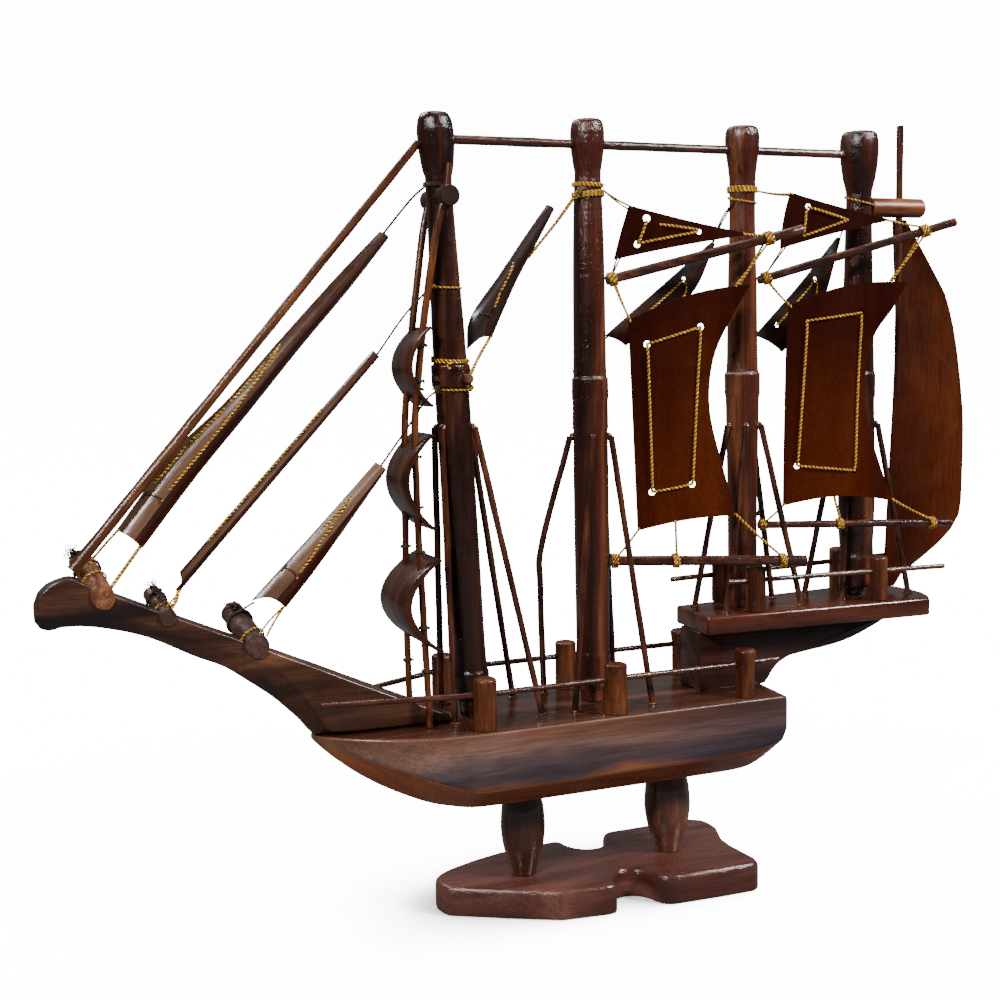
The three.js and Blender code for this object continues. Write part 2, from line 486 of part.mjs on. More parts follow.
for (const r of RIGS) {
  const place = swung(r.mastX, BOOM_ANGLE);
  const end = ([s, z]) => place(s, 0, z);
  add(`gaff_${r.n}`, rod(end(r.gaff[0]), end(r.gaff[1]), r.gaffR, r.gaffR * 0.92, 12), STICK_BROWN, 0.25);
  add(`boom_${r.n}`, rod(end(r.boom[0]), end(r.boom[1]), r.boomR, r.boomR, 12), STICK_BROWN, 0.25);
  add(`main_sail_${r.n}`, veneer({ fore: r.fore, aft: r.aft, place, camber: 1.2, footArch: r.footArch, headArch: r.headArch, nu: 5, nw: 9, holes: r.holes }), SAIL_BROWN, 0.4);
  const tipLine = [[r.tip[0], r.tip[1] - 0.5], [r.tip[0], r.tip[1] + 0.5]];
  add(`topsail_${r.n}`, veneer({ fore: r.top, aft: tipLine, place, camber: 0.6, footArch: 0.6, headArch: -0.6, nu: 4, nw: 3, holes: r.topHoles }), SAIL_BROWN, 0.4);
}

// ---------- spanker at the stern ----------
const SPANKER_DOWEL_Z = 286;
const spankerPlace = (s, off, z) => swung(SPANKER_X, SPANKER_ANGLE)(s, off, z);
let sternDowel = rod(v(MAST_X[3] + 6, 0, SPANKER_DOWEL_Z), v(168, 0, SPANKER_DOWEL_Z), 4.2, 4.2, 16);
sternDowel = cut(sternDowel, rod(v(SPANKER_X, 0, 270), v(SPANKER_X, 0, 300), 1.55 + GAP, 1.55 + GAP, 10));
add('mast_4_dowel', sternDowel, STICK_BROWN, 0.35);
function blade() {
  const aft = [[0.4, 116.8], [4.5, 122.6], [12.5, 128], [23.5, 136.5], [30.5, 144], [33, 150], [33.6, 158], [34, 186], [32.8, 204], [29.2, 229], [24.4, 247.2], [18.6, 257.4], [11.2, 269.8], [4.2, 281]];
  const fore = aft.map(([, z]) => {
    const w = (z - 116.8) / (281 - 116.8);
    return [lerp(lerp(-4.4, 0.4, Math.min(w * 1.6, 1)), -1.6, Math.max(w * 4 - 3, 0)), z];
  });
  return veneer({ fore, aft, place: (s, off, z) => spankerPlace(s, off - 2.6, z), camber: -1.4, nu: 4, nw: 13, thickness: 1.6 });
}
add('spanker_sail', blade(), SAIL_BROWN, 0.4);
add('spanker_stick', rod(v(SPANKER_X, 0, 205), v(SPANKER_X, 0, 321.5), 1.35, 1.5, 10), STICK_BROWN, 0.3);

// ---------- shrouds ----------
// A thin collar round each mast carries four sticks that spread to the deck.
// Each stick is its foot x and y, the angle of its head on the collar, and any bends between.
const SHROUDS = [
  { z: 196, r: 6.8, foot: DECK, sticks: [[-61.5, -10.5, 150], [-25, -12.5, 20], [-58, 15, -150], [-24.7, 18.5, -20]] },
  { z: 190, r: 7.2, foot: DECK, sticks: [[-11.4, -14.5, 110], [22.5, -17.2, 30], [-10.4, 18.5, -150, [-14.6, 9, 147], [-14.6, 11, 129]], [22, 17, -30]] },
  { z: 192, r: 6.95, foot: POOP, sticks: [[61.5, -11, 110], [99.5, -10, 48], [57, 8, 170], [97.6, 10, -30]] },
  { z: 190, r: 7.8, foot: POOP, sticks: [[122, -8, 150], [158, -7.5, 30], [116, 12, -165], [152, 11, -30]] },
];
SHROUDS.forEach((s, i) => {
  const cx = i === 0 ? mast1X(s.z) : MAST_X[i];
  let g = turned([[s.r + 1.3, s.z - 2], [s.r + 1.4, s.z + 2]]);
  g.translate(cx, 0, 0);
  for (const [x, y, a, ...bends] of s.sticks) {
    const head = v(cx + (s.r + 1.5) * Math.cos(rad(a)), -(s.r + 1.5) * Math.sin(rad(a)), s.z + 1.4);
    const path = [head, ...bends.map((q) => v(...q)), v(x, y, s.foot + GAP)];
    g = join(g, stick(path, path.map(() => 1.33), 8));
  }
  const bore = turned([[s.r + GAP, s.z - 20], [s.r + GAP, s.z + 20]]).translate(cx, 0, 0);
  if (i === 0) bore.applyMatrix4(new THREE.Matrix4().makeShear(0, 0, 0, 0, -MAST_1_RAKE, 0)).translate(s.z * MAST_1_RAKE, 0, 0);
  add(`shroud_set_${i + 1}`, cut(g, bore), STICK_BROWN, 0.35);
});

export default ship;
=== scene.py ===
import bisect
import json
import math
import random

import bmesh
import bpy
from mathutils import Matrix, Vector, noise
from mathutils.geometry import delaunay_2d_cdt


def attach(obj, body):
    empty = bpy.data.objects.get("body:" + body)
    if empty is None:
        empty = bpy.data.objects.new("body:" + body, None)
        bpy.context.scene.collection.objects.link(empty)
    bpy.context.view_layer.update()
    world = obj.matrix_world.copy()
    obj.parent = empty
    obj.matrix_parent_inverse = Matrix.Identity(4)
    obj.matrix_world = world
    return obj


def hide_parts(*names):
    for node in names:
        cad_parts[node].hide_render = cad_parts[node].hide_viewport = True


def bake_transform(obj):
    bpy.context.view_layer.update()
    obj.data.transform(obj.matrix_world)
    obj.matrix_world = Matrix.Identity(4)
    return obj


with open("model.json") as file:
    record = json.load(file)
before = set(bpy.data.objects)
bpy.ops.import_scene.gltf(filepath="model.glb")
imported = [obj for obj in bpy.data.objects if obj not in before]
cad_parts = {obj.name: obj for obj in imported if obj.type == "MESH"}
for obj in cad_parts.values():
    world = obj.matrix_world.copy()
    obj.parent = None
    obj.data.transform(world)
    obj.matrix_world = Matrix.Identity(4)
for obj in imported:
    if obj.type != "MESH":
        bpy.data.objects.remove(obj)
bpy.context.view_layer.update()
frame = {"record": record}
BODY_OF = {node: body for body, nodes in frame["record"]["behaviour"]["bodies"].items() for node in nodes}

# Lengths below are millimetres; MM turns them into metres where a mesh is made.
MM = 0.001
TAU = 2 * math.pi

# ---------- camera ----------
yaw, pitch, roll = (math.radians(a) for a in (22.27, 6.24, -1.05))
ahead = Vector((math.sin(yaw) * math.cos(pitch), math.cos(yaw) * math.cos(pitch), -math.sin(pitch)))
flat_right = Vector((math.cos(yaw), -math.sin(yaw), 0))
flat_up = flat_right.cross(ahead)
right = math.cos(roll) * flat_right + math.sin(roll) * flat_up
up = -math.sin(roll) * flat_right + math.cos(roll) * flat_up
camera = bpy.data.objects.new("camera", bpy.data.cameras.new("camera"))
camera.data.sensor_width = 36
camera.data.lens = 51.9
stand_at = Matrix.Translation((-0.2538, -0.5306, 0.2303))
camera.matrix_world = stand_at @ Matrix((right, up, -ahead)).transposed().to_4x4()
bpy.context.scene.collection.objects.link(camera)
bpy.context.scene.camera = camera

# ---------- design sizes, as in the CAD ----------
DECK, POOP = 81.6, 115.0
MAST_X = (-50.0, 4.0, 76.0, 135.0)
RAKE = 0.046
ROD_Z = 308.3
RAIL_Y, RAIL_Z = 24.0, 95.7
BOOM_ANGLE, SPANKER_ANGLE, SPANKER_X = 15.0, 10.0, 156.5
SAIL_T = 1.3
SIDES = (("port", 1), ("stbd", -1))


# ---------- numbers and lines ----------
def lerp(a, b, t):
    return a + (b - a) * t


def smooth_line(xs, ys):
    """A function through the points that keeps every rise and fall, with no overshoot."""
    h = [b - a for a, b in zip(xs, xs[1:])]
    d = [(b - a) / k for a, b, k in zip(ys, ys[1:], h)]
    m = [d[0]] + [0 if a * b <= 0 else 2 * a * b / (a + b) for a, b in zip(d, d[1:])] + [d[-1]]

    def value(x):
        i = min(max(bisect.bisect_right(xs, x) - 1, 0), len(h) - 1)
        t = min(max((x - xs[i]) / h[i], 0), 1)
        a, b = ys[i], ys[i + 1]
        return (
            a * (2 * t**3 - 3 * t * t + 1) + b * (3 * t * t - 2 * t**3)
            + h[i] * (m[i] * (t**3 - 2 * t * t + t) + m[i + 1] * (t**3 - t * t))
        )

    return value


def smooth_columns(rows):
    """One smooth line for each column of the rows after the first, which holds the places."""
    places, *columns = zip(*rows)
    return [smooth_line(places, column) for column in columns]


def curve(points, step=1.0):
    """Points on a smooth line through the given ones, about step apart."""
    pts = [Vector(p) for p in points]
    ext = [2 * pts[0] - pts[1], *pts, 2 * pts[-1] - pts[-2]]
    out = []
    for a, b, c, d in zip(ext, ext[1:], ext[2:], ext[3:]):
        n = max(1, round((c - b).length / step))
        for t in (k / n for k in range(n)):
            bow = (2 * a - 5 * b + 4 * c - d) * t * t
            out.append(0.5 * (2 * b + (c - a) * t + bow + (3 * b - a - 3 * c + d) * t**3))
    return [*out, pts[-1]]


def polyline(corners, n):
    """Straight runs of n steps between corners."""
    corners = [Vector(p) for p in corners]
    return [a.lerp(b, k / n) for a, b in zip(corners, corners[1:]) for k in range(n)] + [corners[-1]]


def frames(line):
    """Each point of a line with two sides square to it that turn as little as they can."""
    side, out = None, []
    for i, p in enumerate(line):
        t = (line[min(i + 1, len(line) - 1)] - line[max(i - 1, 0)]).normalized()
        side = t.orthogonal() if side is None else side - t * side.dot(t)
        side.normalize()
        out.append((p, side.copy(), t.cross(side)))
    return out


def spokes(a, b, sides):
    """Directions evenly round the circle that a and b span."""
    return [a * math.cos(q) + b * math.sin(q) for q in (TAU * k / sides for k in range(sides))]


def unevenness(p, way, scale, turn, seed):
    """Noise for the surface in direction way from the point p of a line."""
    return noise.noise(Vector((p.x * scale + seed, p.y * scale + way.y * turn, p.z * scale + way.x * turn)))


def scatter(rng, spread=1):
    return Vector([rng.gauss(0, spread) for _ in range(3)])


def rounded(corners, r, n=4):
    """Closed outline with each corner rounded over a distance of at most r."""
    out, count = [], len(corners)
    for i, p in enumerate(corners):
        p, a, b = Vector(p), Vector(corners[i - 1]), Vector(corners[(i + 1) % count])
        start = p + (a - p).normalized() * min(r, (a - p).length * 0.45)
        end = p + (b - p).normalized() * min(r, (b - p).length * 0.45)
        for t in (k / n for k in range(n + 1)):
            out.append(start * (1 - t) ** 2 + p * 2 * t * (1 - t) + end * t * t)
    return out


def rounded_plan(outline, r, n):
    return [(p.x, p.y) for p in rounded([(x, y, 0) for x, y in outline], r, n)]


def inside(p, loop):
    hit = False
    for (x0, y0), (x1, y1) in zip(loop, [*loop[1:], loop[0]]):
        if (y0 > p[1]) != (y1 > p[1]) and p[0] < (x1 - x0) * (p[1] - y0) / (y1 - y0) + x0:
            hit = not hit
    return hit


def along(line, w):
    """The point at share w of a line's steps."""
    t = w * (len(line) - 1)
    i = min(int(t), len(line) - 2)
    return lerp(Vector(line[i]), Vector(line[i + 1]), t - i)


def ticks(low, high, step):
    while low < high:
        yield low
        low += step


# ---------- shapes ----------
class Shape:
    """Points in millimetres and faces, gathered for one piece."""

    def __init__(self):
        self.points, self.faces, self.kinds, self.kind = [], [], [], 0

    def loft(self, rings):
        """Skin over closed rings, with a face across each end."""
        n, start = len(rings[0]), len(self.points)
        last = (len(rings) - 1) * n
        faces = [
            (i + j, i + (j + 1) % n, i + n + (j + 1) % n, i + n + j)
            for i in range(0, last, n) for j in range(n)
        ]
        faces += [tuple(range(n))[::-1], tuple(range(last, last + n))]
        self.points += [Vector(p) for ring in rings for p in ring]
        self.faces += [tuple(i + start for i in f) for f in faces]
        self.kinds += [self.kind] * len(faces)
        return self

    def tube(self, line, radius, sides=12, wobble=0.0, seed=0.0):
        """Round stick along a line; radius is one number or a function of the share along it."""
        size = radius if callable(radius) else lambda t: radius
        rings = []
        for i, (p, a, b) in enumerate(frames(line)):
            r = size(i / max(len(line) - 1, 1))
            rings.append([
                p + way * (r * (1 + wobble * unevenness(p, way, 0.08, 1, seed)))
                for way in spokes(a, b, sides)
            ])
        return self.loft(rings)

    def dowel(self, a, b, r, sides=28, chamfer=0.5, wobble=0.03, seed=0.0):
        """Cut stick with slightly broken ends."""
        a, b = Vector(a), Vector(b)
        share = chamfer / (b - a).length
        stops = [0, share, *(lerp(share, 1 - share, k / 12) for k in range(1, 12)), 1 - share, 1]
        rings = []
        for t, (p, u, w) in zip(stops, frames([a.lerp(b, t) for t in stops])):
            size = r - (chamfer * 0.8 if t in (0, 1) else 0)
            rings.append([
                p + way * size * (1 + wobble * unevenness(p, way, 0.1, 1.5, seed))
                for way in spokes(u, w, sides)
            ])
        return self.loft(rings)

    def twine(self, points, r=0.6, pitch=1.7, bend=True):
        """Thread laid up from two strands that wind round its line."""
        line = curve(points, pitch / 8) if bend else points
        base = frames(line)
        for self.kind in (0, 1):
            run, strand = 0.0, []
            for i, (p, a, b) in enumerate(base):
                if i:
                    run += (p - line[i - 1]).length
                q = TAU * (run / pitch + self.kind / 2)
                strand.append(p + (a * math.cos(q) + b * math.sin(q)) * r * 0.5)
            self.tube(strand, r * 0.55, 5)
        self.kind = 0
        return self

    def wrap(self, centre, axis, radius, turns, height, r=0.5, start=0.0, tilt=0.0, seed=1):
        """Thread wound round a stick: turns side by side over a height."""
        axis = Vector(axis).normalized()
        u = axis.orthogonal().normalized()
        w = axis.cross(u)
        rng = random.Random(seed)
        n = max(12, int(turns * 20))
        line = []
        for i in range(n + 1):
            q = TAU * turns * i / n + start
            lift = height * (i / n - 0.5) + tilt * math.sin(q)
            out = radius + r * (0.85 + 0.25 * rng.random())
            line.append(Vector(centre) + (u * math.cos(q) + w * math.sin(q)) * out + axis * lift)
        return self.twine(curve(line, 0.25), r, bend=False)

    def knot(self, centre, size, r=0.4, loops=7, seed=1):
        """Small tangle of thread."""
        rng = random.Random(seed)
        at = Vector(centre)
        line = [at + scatter(rng).normalized() * size * lerp(0.5, 1, rng.random()) for _ in range(loops)]
        return self.twine(line, r, pitch=1.6)

    def fray(self, centre, way, count, length, spread=0.8, r=0.16, seed=1):
        """Loose fibres that fan out of a cut thread end."""
        rng = random.Random(seed)
        at, way = Vector(centre), Vector(way).normalized()
        bends = ((0.4, 0.4), (0.75, -0.3), (1, 0.5))
        for _ in range(count):
            lean = (way + scatter(rng, spread) * 0.6).normalized()
            curl = scatter(rng) * length * 0.22
            reach = length * lerp(0.45, 1, rng.random())
            line = [at] + [at + lean * reach * out + curl * aside for out, aside in bends]
            self.tube(curve(line, 0.8), lambda t: r * (1 - 0.6 * t), 4)
        return self

    def blob(self, centre, r, squash, seed):
        """Irregular drop of glue."""
        rings = []
        for a in (math.pi * i / 8 for i in range(1, 8)):
            ring = []
            for q in (TAU * k / 12 for k in range(12)):
                way = Vector((math.sin(a) * math.cos(q), math.sin(a) * math.sin(q), math.cos(a)))
                size = r * (1 + 0.3 * noise.noise(way * 1.7 + Vector((seed, seed, 0))))
                ring.append(Vector(centre) + Vector((way.x, way.y, way.z * squash)) * size)
            rings.append(ring)
        return self.loft(rings)

    def turned(self, profile, at, lean=0.0, sides=56, step=0.9, grooves=0.03):
        """Lathe work on a profile of (radius, height) from foot to head."""
        (foot_r, foot_z), (top_r, top_z) = profile[0], profile[-1]
        zs = [z for _, z in profile]
        radius = smooth_line(zs, [r for r, _ in profile])
        heights = sorted({*zs, *(foot_z + k * step for k in range(int((top_z - foot_z) / step)))})
        rows = [(foot_r - 0.5, foot_z), (radius(foot_z), foot_z + 0.15)]
        rows += [(radius(z), z) for z in heights[1:]]
        rows += [(top_r * share, top_z + rise) for share, rise in ((0.8, 0.25), (0.45, 0.36), (0.1, 0.4))]
        rings = []
        for r, z in rows:
            cx = at[0] - (z - DECK) * lean
            r += grooves * noise.noise(Vector((at[0], 0, z * 0.9)))
            ring = []
            for q in (TAU * k / sides for k in range(sides)):
                flat = 0.05 * noise.noise(Vector((math.cos(q), math.sin(q), z * 0.03 + at[0])))
                ring.append((cx + (r + flat) * math.cos(q), at[1] + r * math.sin(q), z))
            rings.append(ring)
        return self.loft(rings)

    def slab(self, outline, levels, upright=False):
        """Plate from an outline; each level is (height, inset). An upright one has its heights along y."""
        before, after = [outline[-1], *outline], [*outline[1:], outline[0]]
        rings = []
        for z, d in levels:
            ring = []
            for (x0, y0), (x, y), (x1, y1) in zip(before, outline, after):
                size = math.hypot(x1 - x0, y1 - y0) or 1
                px, py = x - d * (y1 - y0) / size, y + d * (x1 - x0) / size
                ring.append((px, z, py) if upright else (px, py, z))
            rings.append(ring)
        return self.loft(rings)

    def piece(self, name, material, body="ship", slot="stick_wood", stands_for=None, sharp=38):
        """Make the Blender object. A tuple of body, body, start and end attaches it to no body and bakes its
        place into the mesh.
        """
        mesh = bpy.data.meshes.new(name)
        mesh.from_pydata([tuple(p * MM) for p in self.points], [], self.faces)
        bm = bmesh.new()
        bm.from_mesh(mesh)
        bmesh.ops.recalc_face_normals(bm, faces=bm.faces)
        bm.to_mesh(mesh)
        bm.free()
        mesh.shade_smooth()
        mesh.set_sharp_from_angle(angle=math.radians(sharp))
        for m in material if isinstance(material, tuple) else (material,):
            mesh.materials.append(m)
        if isinstance(material, tuple):
            mesh.polygons.foreach_set("material_index", self.kinds)
        obj = bpy.data.objects.new(name, mesh)
        bpy.context.scene.collection.objects.link(obj)
        if isinstance(body, str):
            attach(obj, body)
        else:
            first, second, start, end = body
            tuple(Vector(start) * MM)
            tuple(Vector(end) * MM)
            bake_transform(obj)
        if stands_for:
            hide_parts(stands_for)
        return obj

    def stand_for(self, node, material, slot="stick_wood", sharp=38):
        """Make the piece that replaces one CAD node, on that node's body."""
        return self.piece(f"{node}_look", material, BODY_OF[node], slot, node, sharp)


class Sail:
    """Veneer sheet between a fore and an aft edge, each (s, z) from foot to head, with round holes."""

    def __init__(
        self, fore, aft, place, camber=0.0, crest=0.5, foot=0.0, head=0.0, thick=SAIL_T, holes=(), step=3.0
    ):
        """foot and head bow those edges up, and place turns (s, off, z) into a point."""
        self.fore, self.aft = (
            curve([(s, z, 0) for s, z in edge], 2.0) if len(edge) > 2
            else [Vector((s, z, 0)) for s, z in edge]
            for edge in (fore, aft)
        )
        self.place, self.camber, self.thick, self.net = place, camber, thick, None
        self.skew = math.log(0.5) / math.log(crest)
        rows = 24
        low, high = (
            [
                lerp(self.fore[end], self.aft[end], u) + Vector((0, bow * math.sin(math.pi * u), 0))
                for u in (k / 16 for k in range(1, 16))
            ]
            for end, bow in ((0, foot), (-1, head))
        )
        fore_edge, aft_edge = (
            [along(edge, k / rows) for k in range(rows + 1)] for edge in (self.fore, self.aft)
        )
        outline = [(p.x, p.y) for p in (*low, *aft_edge, *reversed(high), *reversed(fore_edge))]
        pts, edges = [], []
        circles = (
            [(s + r * math.cos(TAU * k / 20), z + r * math.sin(TAU * k / 20)) for k in range(20)]
            for s, z, r in holes
        )
        for ring in (outline, *circles):
            edges += [(len(pts) + k, len(pts) + (k + 1) % len(ring)) for k in range(len(ring))]
            pts += ring
        xs, zs = zip(*outline)
        for z in ticks(min(zs) + step / 2, max(zs), step):
            for x in ticks(min(xs) + step / 2, max(xs), step):
                if inside((x, z), outline) and all(math.hypot(x - s, z - c) > r + 0.8 for s, c, r in holes):
                    if min(math.hypot(x - a, z - b) for a, b in outline) > step * 0.45:
                        pts.append((x, z))
        flat, _, tris, *_ = delaunay_2d_cdt([Vector(p) for p in pts], edges, [], 0, 1e-5)
        keep = []
        for t in tris:
            c = (flat[t[0]] + flat[t[1]] + flat[t[2]]) / 3
            if inside(c, outline) and all(math.hypot(c.x - s, c.y - q) > r * 0.97 for s, q, r in holes):
                keep.append(tuple(t))
        n = len(flat)
        self.shape = Shape()
        self.shape.points = [self.at(p.x, p.y, side * thick / 2) for side in (1, -1) for p in flat]
        borders = dict.fromkeys(e for a, b, c in keep for e in ((a, b), (b, c), (c, a)))
        rim = [(b, a, a + n, b + n) for a, b in borders if (b, a) not in borders]
        self.shape.faces = [*keep, *(tuple(i + n for i in reversed(t)) for t in keep), *rim]

    def bend(self, foot, split):
        """Rebuild as one evenly bent sheet; columns past split take the second material."""
        cols, rows = 14, 70
        self.net = []
        for w in (j / rows for j in range(rows + 1)):
            row = []
            for u in (i / cols for i in range(cols + 1)):
                rise = Vector((0, foot * math.sin(math.pi * u) * (1 - w), 0))
                spot = lerp(along(self.fore, w), along(self.aft, w), u) + rise
                row.append((spot, self.camber * math.sin(math.pi * u**self.skew)))
            self.net.append(row)
        mid = [[self.place(p.x, off, p.y) for p, off in row] for row in self.net]
        self.shape = shape = Shape()
        for side in (1, -1):
            for j in range(rows + 1):
                for i in range(cols + 1):
                    du = mid[j][min(i + 1, cols)] - mid[j][max(i - 1, 0)]
                    dw = mid[min(j + 1, rows)][i] - mid[max(j - 1, 0)][i]
                    shape.points.append(mid[j][i] + du.cross(dw).normalized() * side * self.thick / 2)
        n, back = cols + 1, (cols + 1) * (rows + 1)
        for j in range(rows):
            for i in range(cols):
                a = j * n + i
                b = a + back
                shape.faces += [(a, a + 1, a + n + 1, a + n), (b, b + n, b + n + 1, b + 1)]
                shape.kinds += [int(i / cols >= split)] * 2
        top = rows * n
        rim = [*range(cols), *range(cols, top + cols, n), *range(top + cols, top, -1), *range(top, 0, -n)]
        for a, b in zip(rim, [*rim[1:], rim[0]]):
            shape.faces.append((a, b, back + b, back + a))
            shape.kinds.append(1)
        return self

    def across(self, s, z):
        """Share of the way from the fore edge to the aft edge at one height."""
        ends = []
        for line in (self.fore, self.aft):
            best = line[0].x if z <= line[0].y else line[-1].x
            for a, b in zip(line, line[1:]):
                if min(a.y, b.y) <= z <= max(a.y, b.y) and a.y != b.y:
                    best = lerp(a.x, b.x, (z - a.y) / (b.y - a.y))
                    break
            ends.append(best)
        return min(max((s - ends[0]) / ((ends[1] - ends[0]) or 1e-6), 0), 1)

    def lift(self, s, z):
        """How far the sheet's middle stands off its flat place."""
        if self.net:
            cells = (cell for row in self.net for cell in row)
            return min(cells, key=lambda cell: (cell[0].x - s) ** 2 + (cell[0].y - z) ** 2)[1]
        return self.camber * math.sin(math.pi * self.across(s, z) ** self.skew)

    def at(self, s, z, off=0.0):
        return self.place(s, self.lift(s, z) + off, z)

    def edge(self, shape, line, start, end, r, wave):
        """Twisted thread whipped along part of the fore or aft edge."""
        n = max(3, int(abs(end - start) * (Vector(line[-1]) - Vector(line[0])).length / 4))
        pts = [along(line, lerp(start, end, k / n)) for k in range(n + 1)]
        shape.twine([self.at(p.x, p.y, -0.2 + wave * (k % 2)) for k, p in enumerate(pts)], r)

    def seam(self, shape, points, r):
        """Twisted thread laid on both faces through the given (s, z) points, with its ends sunk."""
        for a, b in zip(points, points[1:]):
            a, b = Vector(a), Vector(b)
            n = max(2, int((b - a).length / 4))
            for side in (1, -1):
                off = side * (self.thick / 2 + r * 0.75)
                lifts = [off * (0.2 if k in (0, n) else 1) for k in range(n + 1)]
                shape.twine([self.at(*a.lerp(b, k / n), lift) for k, lift in enumerate(lifts)], r)


def swung(mast_x, degrees, shift=0.0):
    """Upright plane through a mast, swung toward port; off points to port."""
    c, s = math.cos(math.radians(degrees)), math.sin(math.radians(degrees))
    return lambda t, off, z: Vector((mast_x + t * c - (off + shift) * s, -t * s - (off + shift) * c, z))


def mast_x(i, z):
    """Only mast 1 rakes."""
    return MAST_X[i] - ((z - DECK) * RAKE if i == 0 else 0)


# ---------- materials ----------
class Nodes:
    """One material and short ways to add nodes to it."""

    def __init__(self, name):
        self.material = bpy.data.materials.new(name)
        self.material.use_nodes = True
        self.tree = self.material.node_tree
        self.shader = self.tree.nodes["Principled BSDF"]

    def new(self, kind, **values):
        node = self.tree.nodes.new(kind)
        for key, value in values.items():
            if hasattr(node, key):
                setattr(node, key, value)
            else:
                node.inputs[key.replace("_", " ")].default_value = value
        return node

    def feed(self, *pairs):
        """Link or set each socket of the (value, socket) pairs."""
        for value, socket in pairs:
            if isinstance(value, bpy.types.NodeSocket):
                self.tree.links.new(value, socket)
            else:
                socket.default_value = (*value, 1) if isinstance(value, tuple) else value

    def shade(self, **values):
        self.feed(*((value, self.shader.inputs[key.replace("_", " ")]) for key, value in values.items()))

    def place(self, scale=(1, 1, 1), turn=(0, 0, 0)):
        """Object coordinates, turned so the grain runs along one axis, then squeezed along it."""
        where = self.new("ShaderNodeTexCoord")
        spin = self.new("ShaderNodeMapping", Rotation=turn)
        squeeze = self.new("ShaderNodeMapping", Scale=scale)
        self.feed(
            (where.outputs["Object"], spin.inputs["Vector"]),
            (spin.outputs["Vector"], squeeze.inputs["Vector"]),
        )
        return squeeze.outputs["Vector"]

    def noise(self, vector, scale, detail=3.0, rough=0.55, warp=0.0):
        n = self.new("ShaderNodeTexNoise", Scale=scale, Detail=detail, Roughness=rough, Distortion=warp)
        self.feed((vector, n.inputs["Vector"]))
        return n.outputs["Fac"]

    def ramp(self, fac, *stops):
        """stops are (place, colour or grey)."""
        node = self.new("ShaderNodeValToRGB")
        band = node.color_ramp
        while len(band.elements) < len(stops):
            band.elements.new(0.5)
        for element, (place, colour) in zip(band.elements, stops):
            element.position = place
            element.color = (*(colour if isinstance(colour, tuple) else (colour,) * 3), 1)
        self.feed((fac, node.inputs["Fac"]))
        return node.outputs["Color"]

    def mix(self, fac, a, b, mode="MIX"):
        node = self.new("ShaderNodeMix", data_type="RGBA", blend_type=mode)
        self.feed((fac, node.inputs[0]), (a, node.inputs[6]), (b, node.inputs[7]))
        return node.outputs[2]

    def math(self, how, *values):
        node = self.new("ShaderNodeMath", operation=how)
        self.feed(*zip(values, node.inputs))
        return node.outputs[0]

    def bump(self, height, strength, distance, before=None):
        node = self.new("ShaderNodeBump", Strength=strength, Distance=distance)
        self.feed((height, node.inputs["Height"]))
        if before is not None:
            self.feed((before, node.inputs["Normal"]))
        return node.outputs["Normal"]


def wood(name, dark, mid, light, turn=(0, 0, 0), gloss=(0.35, 0.6, 0.12), skin=(0.25, 0.15, 0.25),
         fibre=1500, length=22, contrast=0.5, pores=0.5, figure=90, stain=None, stain_at=(0.5, 0.62),
         worn=None, bands=(), sheen=0.15):
    """Varnished wood: fine fibres over a broad figure, darker pores, stain clouds and an uneven coat.

    turn is the grain's turn from upright in degrees; gloss is roughness, coat and the coat's roughness; skin is
    how far the coat ripples and is specked and how far the fibres stand out; bands are (axis, low, high, stops)
    with colours that multiply the wood between those places in metres.
    """
    m = Nodes(name)
    rough, coat, coat_rough = gloss
    ripple, speck, relief = skin
    turn = tuple(math.radians(a) for a in turn)
    grain = lambda squeeze: m.place((1, 1, squeeze), turn)
    fine = m.noise(grain(1 / length), fibre, 3, 0.6)
    broad = m.noise(grain(0.11), figure, 4, 0.55, 1.2)
    base = m.ramp(broad, (0.32, dark), (0.5, mid), (0.68, light))
    fibres = m.ramp(fine, (0.3, 1 - contrast), (0.5, 1.0), (0.7, 1 + contrast * 0.8))
    colour = m.mix(1.0, base, fibres, "MULTIPLY")
    holes = m.ramp(m.noise(grain(0.7 / length), fibre * 1.4, 2, 0.5), (0.58, 1.0), (0.66, 0.3))
    colour = m.mix(pores, colour, holes, "MULTIPLY")
    if stain:
        cloud = m.ramp(m.noise(grain(0.22), 26, 3, 0.55, 0.8), (stain_at[0], 0.0), (stain_at[1], 1.0))
        colour = m.mix(cloud, colour, stain)
    for side, low, high, *stops in bands:
        axis = m.new("ShaderNodeSeparateXYZ")
        m.feed((m.place(), axis.inputs[0]))
        level = m.math("MULTIPLY_ADD", axis.outputs[side], 1 / (high - low), -low / (high - low))
        cloud = m.noise(m.place((0.3, 1, 1)), 42, 3, 0.6, 0.6)
        level = m.math("MULTIPLY_ADD", cloud, 0.9, m.math("ADD", level, -0.45))
        colour = m.mix(1.0, colour, m.ramp(level, *stops), "MULTIPLY")
    if worn:
        wear = m.ramp(m.noise(grain(1), 240, 4, 0.7), (0.56, 0.0), (0.66, 1.0))
        colour = m.mix(m.math("MULTIPLY", wear, worn[1]), colour, worn[0])
    rough = m.ramp(m.noise(grain(1), 160, 3), (0.3, max(rough - 0.1, 0.05)), (0.7, min(rough + 0.12, 1.0)))
    waves = m.bump(m.noise(grain(0.14), 900, 2, 0.6), ripple, 0.0006)
    m.shade(Base_Color=colour, Roughness=rough, Specular_IOR_Level=sheen, Normal=m.bump(fine, relief, 0.0005),
            Coat_Weight=coat, Coat_Roughness=coat_rough, Coat_IOR=1.5,
            Coat_Normal=m.bump(m.noise(grain(0.4), 2400, 2, 0.6), speck, 0.0005, waves))
    return m.material


